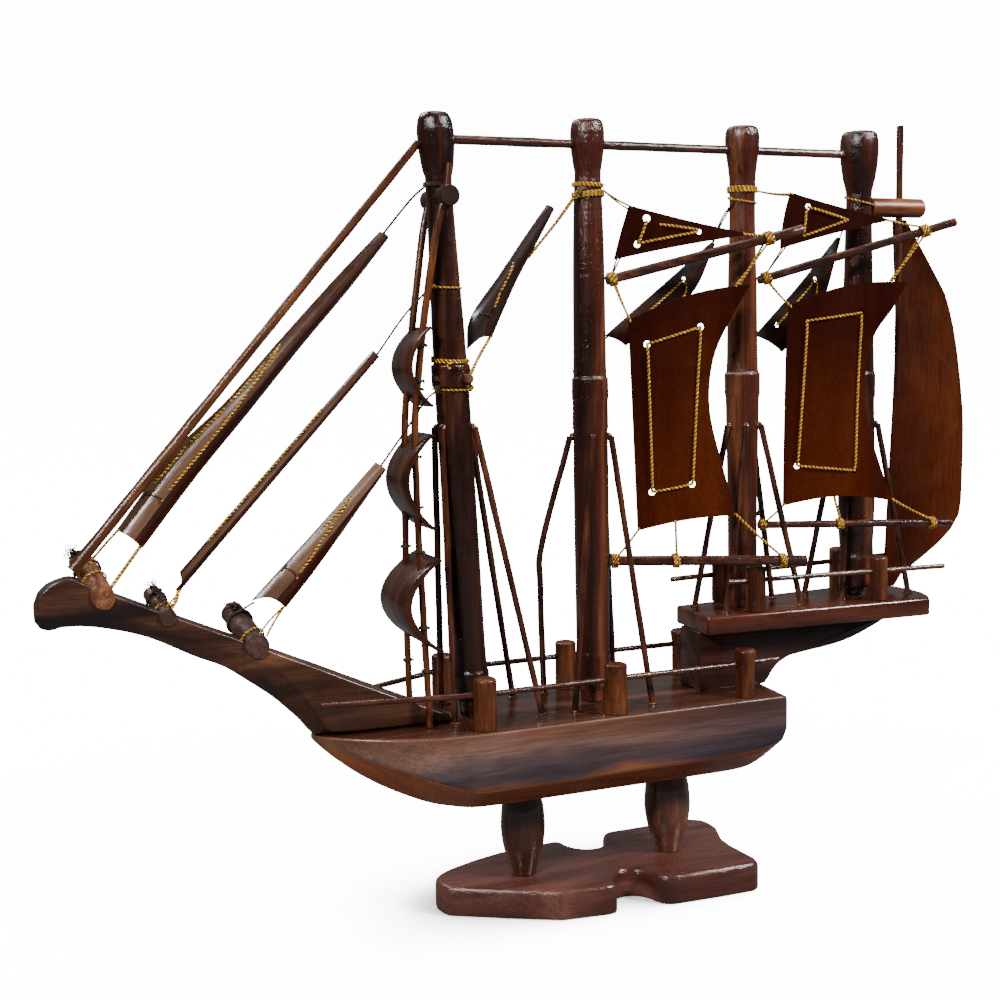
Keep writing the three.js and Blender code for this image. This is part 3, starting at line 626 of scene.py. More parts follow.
def thread(name, bright, dull, metal, rough):
    """Spun thread: colour and gloss change in short steps along the strands."""
    m = Nodes(name)
    m.shade(Base_Color=m.ramp(m.noise(m.place(), 1800, 2, 0.5), (0.38, dull), (0.55, bright)), Metallic=metal,
            Roughness=m.ramp(m.noise(m.place(), 2200, 2), (0.3, rough - 0.12), (0.7, rough + 0.15)),
            Normal=m.bump(m.noise(m.place(), 3800, 2), 0.5, 0.0003))
    return m.material


ALONG_X, ALONG_Y, JIB_SLOPE, STAY_SLOPE = (0, 90, 0), (90, 0, 0), (0, -42, 0), (0, -35, 0)
PLANK = dict(turn=ALONG_X, length=34)
SATIN_PLANK = dict(PLANK, contrast=0.35, pores=0.35)
GLOSS_PLANK = dict(PLANK, contrast=0.3, pores=0.3)
TURNED_MAST = dict(length=30, contrast=0.4, pores=0.4)
WORN_DOWEL = dict(turn=ALONG_Y, fibre=1700, figure=150)
FIBRES_2000 = dict(fibre=2000, figure=60)

HULL = wood(
    "hull_wood", (0.1, 0.052, 0.037), (0.2, 0.108, 0.077), (0.29, 0.165, 0.12), **GLOSS_PLANK,
    gloss=(0.34, 0.6, 0.24), skin=(0.1, 0.04, 0.15), figure=48, stain=(0.05, 0.034, 0.046),
    stain_at=(0.56, 0.74),
    bands=[
        ("Z", 0.05, 0.0816, (0.0, (0.9, 0.5, 0.3)), (0.22, (0.8, 0.5, 0.32)), (0.36, (0.3, 0.33, 0.48)),
         (0.54, (0.4, 0.44, 0.6)), (0.7, (0.8, 0.77, 0.8)), (0.88, (0.6, 0.5, 0.46)),
         (1.0, (0.62, 0.44, 0.32))),
        ("X", 0.0, 0.075, (0.1, 1.0), (0.5, (0.6, 0.62, 0.76)), (0.95, (0.36, 0.38, 0.56))),
    ],
)
DECKING = wood(
    "deck_wood", (0.014, 0.0036, 0.002), (0.052, 0.0155, 0.0085), (0.11, 0.042, 0.024), **SATIN_PLANK,
    gloss=(0.3, 0.9, 0.12), skin=(0.2, 0.1, 0.2), figure=60,
)
# Brighter, redder copy for the hull's downward facets: painted light that makes the underside look lit from
# below.
LIT_CHINE = wood(
    "lit_chine_wood", (0.075, 0.013, 0.003), (0.18, 0.04, 0.011), (0.28, 0.08, 0.022), **SATIN_PLANK,
    gloss=(0.32, 0.6, 0.22), skin=(0.1, 0.04, 0.15), figure=48,
)
PROW = wood(
    "prow_wood", (0.025, 0.008, 0.004), (0.075, 0.027, 0.013), (0.15, 0.062, 0.03), **SATIN_PLANK,
    gloss=(0.34, 0.6, 0.22), skin=(0.12, 0.05, 0.15), figure=60, stain=(0.012, 0.005, 0.005),
)
BASE = wood(
    "base_wood", (0.05, 0.014, 0.009), (0.105, 0.036, 0.027), (0.18, 0.07, 0.053), **GLOSS_PLANK,
    gloss=(0.28, 0.8, 0.14), skin=(0.4, 0.35, 0.12), figure=40, stain=(0.035, 0.008, 0.005),
    stain_at=(0.5, 0.7),
)
GLOSS = wood(
    "gloss_wood", (0.014, 0.0022, 0.0012), (0.04, 0.0075, 0.0038), (0.085, 0.02, 0.008), **GLOSS_PLANK,
    gloss=(0.26, 0.8, 0.12), skin=(0.16, 0.1, 0.12), figure=55, stain=(0.016, 0.003, 0.002),
    stain_at=(0.55, 0.7),
)
LEG = wood(
    "leg_wood", (0.022, 0.0055, 0.0028), (0.068, 0.022, 0.012), (0.15, 0.056, 0.03), gloss=(0.3, 1.0, 0.05),
    skin=(0.12, 0.05, 0.08), figure=60, contrast=0.2, pores=0.2,
)
DARK = wood(
    "dark_wood", (0.006, 0.0018, 0.0016), (0.018, 0.0052, 0.0045), (0.042, 0.012, 0.008), **PLANK,
    gloss=(0.4, 0.5, 0.2), skin=(0.25, 0.15, 0.15), figure=60, contrast=0.35,
)
MAST = wood(
    "mast_wood", (0.012, 0.0018, 0.0009), (0.052, 0.0098, 0.0038), (0.19, 0.06, 0.023), **TURNED_MAST,
    gloss=(0.28, 0.9, 0.12), skin=(0.6, 0.5, 0.2), figure=50, stain=(0.006, 0.001, 0.0006),
    stain_at=(0.54, 0.68),
)
FORE_MAST = wood(
    "fore_mast_wood", (0.006, 0.0009, 0.0005), (0.022, 0.0042, 0.002), (0.075, 0.022, 0.008), **TURNED_MAST,
    gloss=(0.28, 0.9, 0.12), skin=(0.45, 0.35, 0.2), figure=70,
)
POST = wood(
    "post_wood", (0.024, 0.004, 0.0012), (0.062, 0.0135, 0.0042), (0.13, 0.038, 0.012),
    gloss=(0.42, 0.35, 0.2), skin=(0.25, 0.15, 0.35), fibre=1700, figure=130, worn=((0.1, 0.05, 0.027), 0.25),
)
DOWEL = wood(
    "dowel_wood", (0.05, 0.014, 0.006), (0.13, 0.046, 0.02), (0.22, 0.09, 0.04), **WORN_DOWEL,
    gloss=(0.5, 0.25, 0.3), skin=(0.25, 0.15, 0.35), worn=((0.07, 0.038, 0.024), 0.3),
)
DULL_DOWEL = wood(
    "dull_dowel_wood", (0.022, 0.009, 0.006), (0.052, 0.025, 0.018), (0.095, 0.05, 0.037), **WORN_DOWEL,
    gloss=(0.5, 0.3, 0.3), skin=(0.25, 0.15, 0.35), contrast=0.4, worn=((0.07, 0.045, 0.04), 0.4),
)
STERN_DOWEL = wood(
    "stern_dowel_wood", (0.07, 0.014, 0.004), (0.13, 0.034, 0.011), (0.21, 0.065, 0.024), turn=ALONG_X,
    gloss=(0.4, 0.4, 0.22), figure=150,
)
STICK_TONES = (0.012, 0.0026, 0.0012), (0.045, 0.0105, 0.0045), (0.11, 0.034, 0.014)
STICK = wood(
    "stick_wood", *STICK_TONES, gloss=(0.3, 0.8, 0.12), skin=(0.3, 0.25, 0.2), figure=160, contrast=0.4,
)
SPAR = wood(
    "spar_wood", *STICK_TONES, turn=ALONG_X, gloss=(0.28, 0.9, 0.1), skin=(0.4, 0.35, 0.2), figure=160,
    contrast=0.4,
)
STAY = wood(
    "stay_wood", (0.026, 0.006, 0.002), (0.066, 0.0185, 0.006), (0.14, 0.048, 0.014), turn=(0, -43, 0),
    gloss=(0.34, 0.6, 0.15), skin=(0.35, 0.25, 0.25), figure=160,
)
BOW_WOOD = wood(
    "bow_stick_wood", (0.02, 0.0045, 0.0016), (0.055, 0.013, 0.0035), (0.13, 0.036, 0.009),
    gloss=(0.36, 0.5, 0.18), figure=120,
)
# Main sails and topsails: the Z band paints light and shade, lighter toward the foot and darker toward the
# head.
VENEER = wood(
    "veneer", (0.02, 0.002, 0.0004), (0.03, 0.0035, 0.0008), (0.048, 0.0078, 0.0016),
    gloss=(0.5, 0.015, 0.35), skin=(0.08, 0.04, 0.3), fibre=2300, length=5, figure=30, contrast=0.36,
    pores=0.3, sheen=0.04,
    bands=[
        ("Z", 0.15, 0.255, (0.15, (1.4, 1.5, 1.3)), (0.5, (1.1, 1.1, 1.0)), (0.85, (0.75, 0.66, 0.7))),
    ],
)
BOW_VENEER = wood(
    "bow_veneer", (0.016, 0.0028, 0.0008), (0.034, 0.0066, 0.002), (0.075, 0.019, 0.006),
    gloss=(0.34, 0.6, 0.16), skin=(0.15, 0.08, 0.25), fibre=1800, length=14, figure=60, contrast=0.35,
    pores=0.4,
)
# Jib veneer: partly its own grey-brown and partly a painted reflection, made paler to match the glossy lit
# face.
JIB = wood(
    "jib_veneer", (0.065, 0.028, 0.014), (0.13, 0.064, 0.036), (0.19, 0.1, 0.062), **FIBRES_2000,
    turn=JIB_SLOPE, gloss=(0.3, 0.9, 0.18), skin=(0.1, 0.05, 0.2), length=12, contrast=0.3, pores=0.3,
    bands=[
        ("Z", 0.14, 0.27, (0.0, (0.7, 0.66, 0.66)), (0.16, 1.0), (0.42, 1.0), (0.7, (0.42, 0.3, 0.28)),
         (1.0, (0.34, 0.24, 0.24))),
    ],
)
# Darker copy of the jib veneer for the aft columns and the rim: painted shade where the sheet turns away from
# the light.
SHADED_JIB = wood(
    "shaded_jib_veneer", (0.014, 0.002, 0.0008), (0.034, 0.0055, 0.0024), (0.07, 0.014, 0.006), **FIBRES_2000,
    turn=JIB_SLOPE, gloss=(0.32, 0.7, 0.16), skin=(0.15, 0.08, 0.2), length=14, contrast=0.35,
)
DARK_VENEER = wood(
    "dark_veneer", (0.009, 0.0025, 0.0015), (0.019, 0.006, 0.0035), (0.036, 0.012, 0.007), **FIBRES_2000,
    turn=STAY_SLOPE, gloss=(0.32, 0.7, 0.18), skin=(0.12, 0.05, 0.25), length=9, contrast=0.35,
)
# Greyer copy of the dark veneer for the fore part of staysail 12: painted sheen of its glossy face.
SHEEN_VENEER = wood(
    "sheen_veneer", (0.012, 0.006, 0.0048), (0.026, 0.0145, 0.012), (0.05, 0.03, 0.025), **FIBRES_2000,
    turn=STAY_SLOPE, gloss=(0.3, 0.9, 0.16), skin=(0.1, 0.05, 0.15), length=12, contrast=0.3, pores=0.3,
)
# Spanker: the bands paint light and shade, lighter and paler toward the aft edge and the foot, darker toward
# the head.
SPANKER = wood(
    "spanker_veneer", (0.03, 0.004, 0.0006), (0.045, 0.0072, 0.0012), (0.068, 0.014, 0.0028),
    gloss=(0.45, 0.04, 0.3), skin=(0.1, 0.05, 0.45), fibre=1700, length=14, figure=26, contrast=0.36,
    sheen=0.08,
    bands=[
        ("X", 0.152, 0.19, (0.15, (0.82, 0.75, 0.85)), (0.5, (1.0, 1.05, 1.2)), (0.95, (1.45, 1.75, 2.3))),
        ("Z", 0.12, 0.28, (0.1, (1.15, 1.1, 1.1)), (0.5, (1.1, 1.15, 1.2)), (0.85, (0.85, 0.8, 0.9))),
    ],
)
# Gold thread: the second strand of each twine is dark brown, painted shade standing in for the dark gaps of the
# twist.
GOLD = (thread("gold_thread", (1.0, 0.57, 0.04), (0.6, 0.27, 0.014), 0.3, 0.26),
        thread("gold_gap_shade_thread", (0.2, 0.075, 0.008), (0.04, 0.014, 0.002), 0.3, 0.4))
CORD = thread("dark_thread", (0.05, 0.022, 0.009), (0.01, 0.004, 0.002), 0.15, 0.6)


# ---------- stand ----------
def scallop(y, side):
    """The bite out of one long side of the base, 12 mm deep."""
    angles = [math.pi - math.pi * k / 16 for k in range(1, 16)]
    return [(10.5 + 9.3 * math.cos(q), side * (y - 12 * math.sin(q))) for q in angles]


base_outline = [
    (-65, 7), (-64.4, 2), (-63, -1.8), (-42, -14.8), (-23, -25.6), (-3, -28.2), (0.6, -27.2), (1.2, -24.8),
    *scallop(26, -1), (20.5, -26), (22.5, -28.4), (26, -29.8), (46, -30.8), (63, -31), (66, -29), (67, -25),
    (66.5, -16), (66, -8), (67, 2), (69.4, 8), (72.2, 15), (72.6, 22), (71, 27.4), (66.5, 30.4), (46, 31),
    (26, 31), (22.5, 29.5), (20.5, 26.5), *reversed(scallop(26.5, 1)), (1.2, 26), (0.6, 28.4), (-2, 29.8),
    (-9, 29.5), (-29, 27.5), (-43, 23.4), (-56, 17.8), (-61.4, 14.2), (-64, 11),
]
base_levels = [
    (0.02, 0.4), (0.25, 0.15), (0.9, 0), (9.4, 0), (10.4, 0.12), (11.1, 0.4), (11.6, 0.75), (11.9, 1.15),
    (12, 1.5),
]
Shape().slab(rounded_plan(base_outline, 0.9, 2), base_levels).stand_for("base_board", BASE, "gloss_wood")
LEG_FOOT, LEG_HEIGHT = 12.1, 37.6
for tag, x, r in (("fore", -29, 9.2), ("aft", 38.5, 9.8)):
    swell = ((0.55, 0), (0.72, 0.16), (0.93, 0.36), (1, 0.54), (0.96, 0.72), (0.82, 0.9), (0.76, 1))
    profile = [(r * k, LEG_FOOT + LEG_HEIGHT * t) for k, t in swell]
    Shape().turned(profile, (x, 0)).stand_for(f"leg_{tag}", LEG, "gloss_wood")

# ---------- hull and prow ----------
# x, half beam, height of the bevel's upper edge, half width at the bottom, height of the bottom
hull_rows = [
    (-116, 4, 79.4, 3, 78.6), (-111.5, 8.5, 77.4, 6, 74.2), (-100, 17, 73.5, 11.5, 65.5),
    (-86, 24.5, 68.5, 16.5, 58), (-72, 29, 63, 20, 52.8), (-56, 30.5, 58.8, 22.5, 50.3),
    (-38, 30.1, 58.8, 22.5, 50), (50, 30.5, 59, 22.5, 50), (61, 30.5, 60, 23.5, 50.8),
    (77, 30.5, 63.2, 27, 61.2), (79.4, 30.5, 68, 28.5, 66.5),
]
hull_lines = smooth_columns(hull_rows)


def hull_ring(x, shrink=0.0, shift=0.0):
    """Section of the hull with its corners broken; shrink and shift round the two ends."""
    beam, chine, low_beam, low = (line(x) for line in hull_lines)
    bulge = max(0.0, (x - 60) / 19.4) * 3
    half = [(x, -beam, DECK), (x, -beam, chine), (x + bulge * 0.3, -low_beam, low), (x + bulge, 0, low)]
    ring = rounded([*half, *((px, -y, z) for px, y, z in reversed(half[:3])), (x + bulge, 0, DECK)], 1.3)
    centre = sum(ring, Vector()) / len(ring)
    pull = Vector((0, shrink / beam, shrink / max(DECK - low, 3) * 2))
    return [p + (centre - p) * pull + Vector((shift, 0, 0)) for p in ring]


steps = sorted({*(row[0] for row in hull_rows), *(-116 + 3 * k for k in range(65))})
rings = [hull_ring(-116, 0.8, -0.4), *(hull_ring(x) for x in steps if x <= 78.2)]
rings += [hull_ring(79.0, 0.35, 0), hull_ring(79.4, 1.2, 0.25)]
hull = Shape().loft(rings).stand_for("hull", HULL, "hull_wood", sharp=28)
# Faces that look down take the lit chine copy, which is painted light; faces that look up take the deck wood.
hull.data.materials.append(LIT_CHINE)
hull.data.materials.append(DECKING)
for face in hull.data.polygons:
    if face.normal.z > 0.9:
        face.material_index = 2
    if face.normal.z < -0.35:
        face.material_index = 1

# x, top, bottom, height of the side bevel's upper edge, half width
prow_rows = [
    (-216.3, 140.6, 134.6, 137.4, 3.6), (-214.5, 144.4, 132, 138.5, 4.6), (-211, 147.4, 131, 139, 5),
    (-207, 149, 131.8, 139, 5), (-203.5, 149.6, 131.8, 139, 5), (-199, 147.6, 131.4, 138.5, 5),
    (-188, 142.2, 129, 135, 5), (-178, 137.5, 125.7, 131, 5.2), (-160, 129.3, 116.4, 123.6, 5.6),
    (-150.5, 125, 112, 119.6, 5.9), (-141, 120.8, 105.3, 115.4, 6.2), (-132, 116.5, 98.3, 110.5, 6.6),
    (-122, 111.8, 88.4, 100, 7), (-115.6, 108.9, 81.7, 90, 7.4), (-110.5, 106.5, 81.7, 83.4, 7.8),
    (-100, 101.5, 81.7, 82.6, 8), (-80, 92.3, 81.7, 82.4, 8), (-62, 84.4, 81.7, 82.3, 8),
    (-57.6, 82.7, 81.7, 82.2, 7.4),
]
prow_lines = smooth_columns(prow_rows)
rings = []
for x in sorted({*(row[0] for row in prow_rows), *(-216.3 + 1.6 * k for k in range(99))}):
    top, low, facet, w = (line(x) for line in prow_lines)
    facet = min(facet, top - 0.15)
    low = min(low, facet - 0.1)
    crown = w if -215.6 < x < -58 else w * 0.72
    half = [(x, -crown, top), (x, -w, facet), (x, -w * 0.45, low)]
    ring = rounded([*half, *((x, -y, z) for _, y, z in reversed(half))], 1.1)
    rings.append([p + Vector((0, 0.25 * noise.noise(Vector((p.x * 0.05, 3, p.z * 0.05))), 0)) for p in ring])
Shape().loft(rings).stand_for("prow", PROW, "hull_wood", sharp=30)

PROW_DOWELS = [
    (Vector(near), Vector(far), r)
    for near, far, r in (
        ((-192.7, -6, 142.2), (-198, 17, 153.5), 4.3),
        ((-170.1, -6.3, 132.9), (-173.5, 12, 139.5), 3.1),
        ((-138, -7.4, 119.3), (-143, 15, 129.5), 4.4),
    )
]
for i, (near, far, r) in enumerate(PROW_DOWELS):
    axis = (far - near).normalized()
    u = (Vector((1, 0, 0)) - axis * axis.x).normalized()
    rings = []
    for t in (0, 0.02, 0.1, 0.25, 0.4, 0.55, 0.7, 0.85, 0.97, 1):
        ring, middle = [], near.lerp(far, t)
        for way in spokes(u, axis.cross(u), 32):
            uneven = 1 + 0.05 * noise.noise(way * 1.4 + Vector((i * 5, t * 3, 0)))
            size = r * (0.93 if t in (0, 1) else 1) * uneven
            p = middle + way * size
            flush = (middle.y - p.y) / axis.y  # the near end is cut upright, along the prow's side
            ring.append(p + axis * flush * max(0, 1 - t * 3))
        rings.append(ring)
    Shape().loft(rings).stand_for(f"prow_dowel_{i + 1}", DULL_DOWEL if i else DOWEL, "post_wood")

# ---------- stern ----------
stern_profile = [
    (50, 81.7), (82, 81.7), (83.8, 83.6), (86.3, 87.3), (89.4, 90.2), (94.6, 92.6), (105, 94), (112.5, 94.7),
    (119.8, 95.8), (126, 97.2), (132.6, 99.4), (141.2, 102.8), (150, 107.2), (50, 107.2),
]
stern_levels = [(-8.5, 0.6), (-8.3, 0.2), (-7.8, 0), (7.8, 0), (8.3, 0.2), (8.5, 0.6)]
stern_block = Shape().slab(rounded_plan(stern_profile, 1.2, 3), stern_levels, upright=True)
stern_block.stand_for("stern_block", DARK, "dark_wood")
poop_plan = [
    (49, -17), (100, -19.8), (150, -22.4), (158, -22.6), (162, -17), (165, -9), (166, 0), (165, 9), (162, 17),
    (158, 22.6), (150, 22.4), (100, 18.5), (51, 14),
]
poop_levels = [(107.3, 0.7), (107.6, 0.2), (108.2, 0), (113.7, 0), (114.4, 0.2), (114.85, 0.6), (115, 1.2)]
Shape().slab(rounded_plan(poop_plan, 1.6, 4), poop_levels).stand_for("poop_deck", GLOSS, "gloss_wood")


# ---------- rails ----------
def post(node, profile, at):
    Shape().turned(profile, at, step=1.6, grooves=0.12).stand_for(node, POST, "post_wood")


for side, s in SIDES:
    path = [(-117, 16, 96.2 if s == 1 else 88.8), (-54, RAIL_Y, RAIL_Z - 0.3), (2.5, RAIL_Y, RAIL_Z),
            (62.5, RAIL_Y, RAIL_Z), (78.5, RAIL_Y, RAIL_Z + 0.4)]
    line = polyline([(x, -y * s, z) for x, y, z in path], 16)
    Shape().tube(line, 1.15, 14, wobble=0.12, seed=s).stand_for(f"rail_rod_{side}", SPAR)
    for i, x in enumerate((-54, 2.5, 62.5 if s == 1 else 59)):
        r = 3.87 if i == 2 else 4.5
        profile = [(r, 81.7), (r * 1.01, 88), (r * 0.99, 95), (4.5, 100.6), (4.35, 101.4), (3.9, 101.8)]
        post(f"rail_post_{side}_{i + 1}", profile, (x, -RAIL_Y * s))
    y1, y2 = -13.8 * s, -15.2 * s
    start, level_at, slope = (61, 74, -0.009) if s == 1 else (48.5, 136, 0.018)
    xs = [lerp(start, 170.5, k / 40) for k in range(41)]
    line = [Vector((x, lerp(y1, y2, (x - 74) / 62), 128.3 + slope * (x - level_at))) for x in xs]
    Shape().tube(line, 1.15, 14, wobble=0.12, seed=4 * s).stand_for(f"poop_rod_{side}", SPAR)
    for i, (x, y, r) in enumerate(((74, y1, 4.3), (136, y2, 3.8))):
        profile = [(r, 115.1), (r * 1.01, 121), (r * 0.99, 128), (r, 133), (r - 0.15, 133.8),
            (r - 0.6, 134.2)]
        post(f"poop_post_{side}_{i + 1}", profile, (x, y))

# ---------- masts ----------
# (radius, height) from foot to head
MASTS = [
    [(5.2, 81.9), (5.4, 88), (7.4, 90.5), (7.6, 99), (6.9, 101), (6.7, 117), (6.8, 156), (6.8, 205),
     (6.8, 213), (7.8, 213.6), (7.7, 221.6), (6.7, 222.4), (6.3, 240), (5.8, 258), (5.2, 290), (5.2, 294.4),
     (5.6, 295), (6.5, 300), (7.1, 306), (7.2, 310), (6.7, 315), (5.4, 317.6), (4.9, 318)],
    [(5.3, 81.9), (5.5, 85.5), (7.1, 89.5), (7.2, 101), (6.8, 103), (6.9, 112), (7.1, 143), (7.2, 175),
     (7, 194), (7.3, 195), (7.2, 206), (7.5, 207), (7.4, 215), (6.8, 215.8), (6.7, 222), (6.4, 259),
     (5.6, 290), (5.3, 296), (6.1, 302), (6.8, 308), (6.9, 312), (6.5, 315.8), (5.7, 317.6), (5.2, 318)],
    [(5.2, 115.3), (6.2, 118.5), (6.5, 128), (6.2, 131), (6.2, 155), (6.7, 185), (6.9, 196), (7.1, 205),
     (7.3, 206), (7.5, 207), (7.5, 215), (6.8, 216), (6.5, 222), (6.1, 250), (5.4, 282), (5.5, 296),
     (6.1, 302), (7.1, 309.5), (7.2, 313.5), (6.7, 316.6), (6, 317.7), (5.5, 318)],
    [(6, 115.3), (6.9, 118.5), (7.6, 121), (7.7, 132), (7.1, 134.5), (7.6, 142), (8, 160), (7.7, 185),
     (7.4, 203), (7.8, 204), (7.8, 213), (7.3, 214.5), (6.7, 235), (5.9, 270), (5.5, 291), (5.7, 293),
     (6.9, 298), (8.1, 307), (8.3, 312), (7.7, 316.4), (6.9, 317.7), (6.4, 318)],
]
mast_radius = [smooth_line([z for _, z in profile], [r for r, _ in profile]) for profile in MASTS]
for i, profile in enumerate(MASTS):
    mast = Shape().turned(profile, (MAST_X[i], 0), lean=0 if i else RAKE, sides=64, step=0.8, grooves=0.07)
    mast.stand_for(f"mast_{i + 1}", MAST if i else FORE_MAST, "mast_wood", sharp=50)

rod_ends = [(mast_x(0, ROD_Z) + 4, 0, ROD_Z), (MAST_X[1], 0, ROD_Z), (MAST_X[3] - 4, 0, ROD_Z)]
Shape().tube(polyline(rod_ends, 24), lambda t: 1.9 - 0.1 * t, 16, wobble=0.1).stand_for("top_rod", SPAR)
PEG = Vector((mast_x(0, 216.5) + 4, -9.6, 216.5))
Shape().dowel(PEG, PEG + Vector((0, 6.6, 0)), 2, seed=3).stand_for("mast_1_peg", DOWEL, "post_wood")
fore_x = mast_x(0, 286)
Shape().dowel((fore_x, -12, 286), (fore_x, 12, 286), 4.1, seed=9).stand_for("fore_dowel", DARK)
Shape().dowel((MAST_X[3] + 5, 0, 286), (168, 0, 286), 4.2, seed=12).stand_for("mast_4_dowel", STERN_DOWEL)
stay = polyline([(-202.4, 0, 151.8), (mast_x(0, ROD_Z) - 7.2, 0, ROD_Z - 1.7)], 50)
Shape().tube(stay, lambda t: lerp(2.2, 1.6, t), 16, wobble=0.12).stand_for("forestay_stick", STAY)

# ---------- bowed sticks and square sails ----------
BOW = [
    (-58.4, 9, 298), (-60.2, 9, 286), (-63.2, 8.2, 276), (-69.4, 6.4, 238), (-73.7, 6.1, 200),
    (-74, 6.8, 178), (-74, 7.8, 158), (-73.5, 10.8, 117), (-72.6, 12, 81.9),
]
for side, s in SIDES:
    line = curve([(x, -y * s, z) for x, y, z in BOW], 3)
    stick = Shape().tube(line, lambda t: lerp(1.5, 1.34, t), 14, wobble=0.14, seed=2 * s)
    stick.stand_for(f"bow_stick_{side}", BOW_WOOD)
# name, foot, head, x of the tips, x of the belly, half width, thickness at the belly and at the tips
for name, low, high, tip_x, belly, half, mid, tip in (
    ("upper", 206.5, 236.4, -67.5, -76.4, 10.5, 2, 1),
    ("middle", 159, 195.5, -68, -79.4, 11.5, 2.4, 1.1),
    ("lower", 111.6, 147.5, -67.2, -81.4, 15, 3.4, 1.1),
):
    rows = 36
    swell = [math.sin(math.pi * k / rows) for k in range(rows + 1)]
    spine = [Vector((lerp(tip_x, belly, w**0.8), 0, lerp(low, high, k / rows))) for k, w in enumerate(swell)]
    rings, side = [], Vector((0, half, 0))
    for k, p in enumerate(spine):
        t = (spine[min(k + 1, rows)] - spine[max(k - 1, 0)]).normalized()
        out = Vector((t.z, 0, -t.x)) * lerp(tip, mid, swell[k]) / 2
        rings.append(rounded([p + out - side, p + out + side, p - out + side, p - out - side], 0.35, 2))
    Shape().loft(rings).stand_for(f"square_sail_{name}", BOW_VENEER, "veneer", sharp=45)


# ---------- jibs and staysails ----------
def jib_place(fore, aft, y, degrees):
    """Plane of a jib, turned about the line from the middle of its foot to the middle of its head."""
    foot, head = (Vector(((fore[k][0] + aft[k][0]) / 2, 0, (fore[k][1] + aft[k][1]) / 2)) for k in (0, -1))
    spin = Matrix.Rotation(math.radians(degrees), 3, (head - foot).normalized())
    return lambda s, off, z: spin @ (Vector((s, off, z)) - foot) + Vector((foot.x, y, foot.z))


jibs = []
for fore, aft, y, degrees, camber, foot, split in (
    ([(-185.9, 164.9), (-164.2, 192.3), (-144.2, 210.3), (-125.2, 230.3), (-101.5, 254.7), (-82.5, 273)],
     [(-177.2, 158), (-156, 183.9), (-136, 206.5), (-115.5, 230.2), (-96, 251.7), (-79.8, 271)],
     3.8, 0, -2.7, 0.8, 0.6),
    ([(-166, 149.9), (-127.6, 189.3), (-89.2, 228.6)], [(-164.6, 140.2), (-125.5, 183), (-86.4, 225.8)],
     -1.5, 52, -1.8, 0.8, 0.3),
    ([(-139, 135.8), (-111, 163), (-88.6, 185.4)], [(-125.6, 132), (-110.7, 149.4), (-84.8, 182.4)],
     -1.5, 8, -2.7, 3, 0.6),
):
    # Columns past split and the rim take the darker copy, which is painted shade.
    jib = Sail(fore, aft, jib_place(fore, aft, y, degrees), camber, crest=0.6).bend(foot, split)
    jibs.append(jib)
    jib.shape.stand_for(f"jib_{len(jibs)}", (JIB, SHADED_JIB), "veneer")

stay_plane = lambda s, off, z: Vector((s, 3 - off, z))
stay_12 = Sail(
    [(-48.3, 227.5), (-46.6, 239.8), (-34, 256.2), (-22, 272.2), (-12.4, 284.4)],
    [(-38, 232.4), (-32.5, 243.7), (-26, 256.4), (-18.4, 269), (-10.5, 282.4)], stay_plane, 2.4, crest=0.55,
).bend(2.2, 0.55)
stay_23 = Sail(
    [(12.4, 232), (38, 251.5), (62.8, 270.4)], [(22, 228), (52, 248), (64.2, 269.4)], stay_plane, 0.8,
    foot=0.8, holes=[(24, 235.5, 1.2), (49, 255, 1.2)],
)
stay_34 = Sail(
    [(84.3, 231.2), (106, 252), (126, 273.2)], [(97.8, 224), (117, 243), (127.4, 272)], stay_plane, 0.8,
    foot=0.8, holes=[(94.8, 235.5, 1.2), (114, 255, 1.2)],
)
# Staysail 12's fore part takes the greyer copy, which is painted sheen.
stay_12.shape.stand_for("staysail_12", (SHEEN_VENEER, DARK_VENEER), "veneer")
stay_23.shape.stand_for("staysail_23", DARK_VENEER, "veneer")
stay_34.shape.stand_for("staysail_34", DARK_VENEER, "veneer")

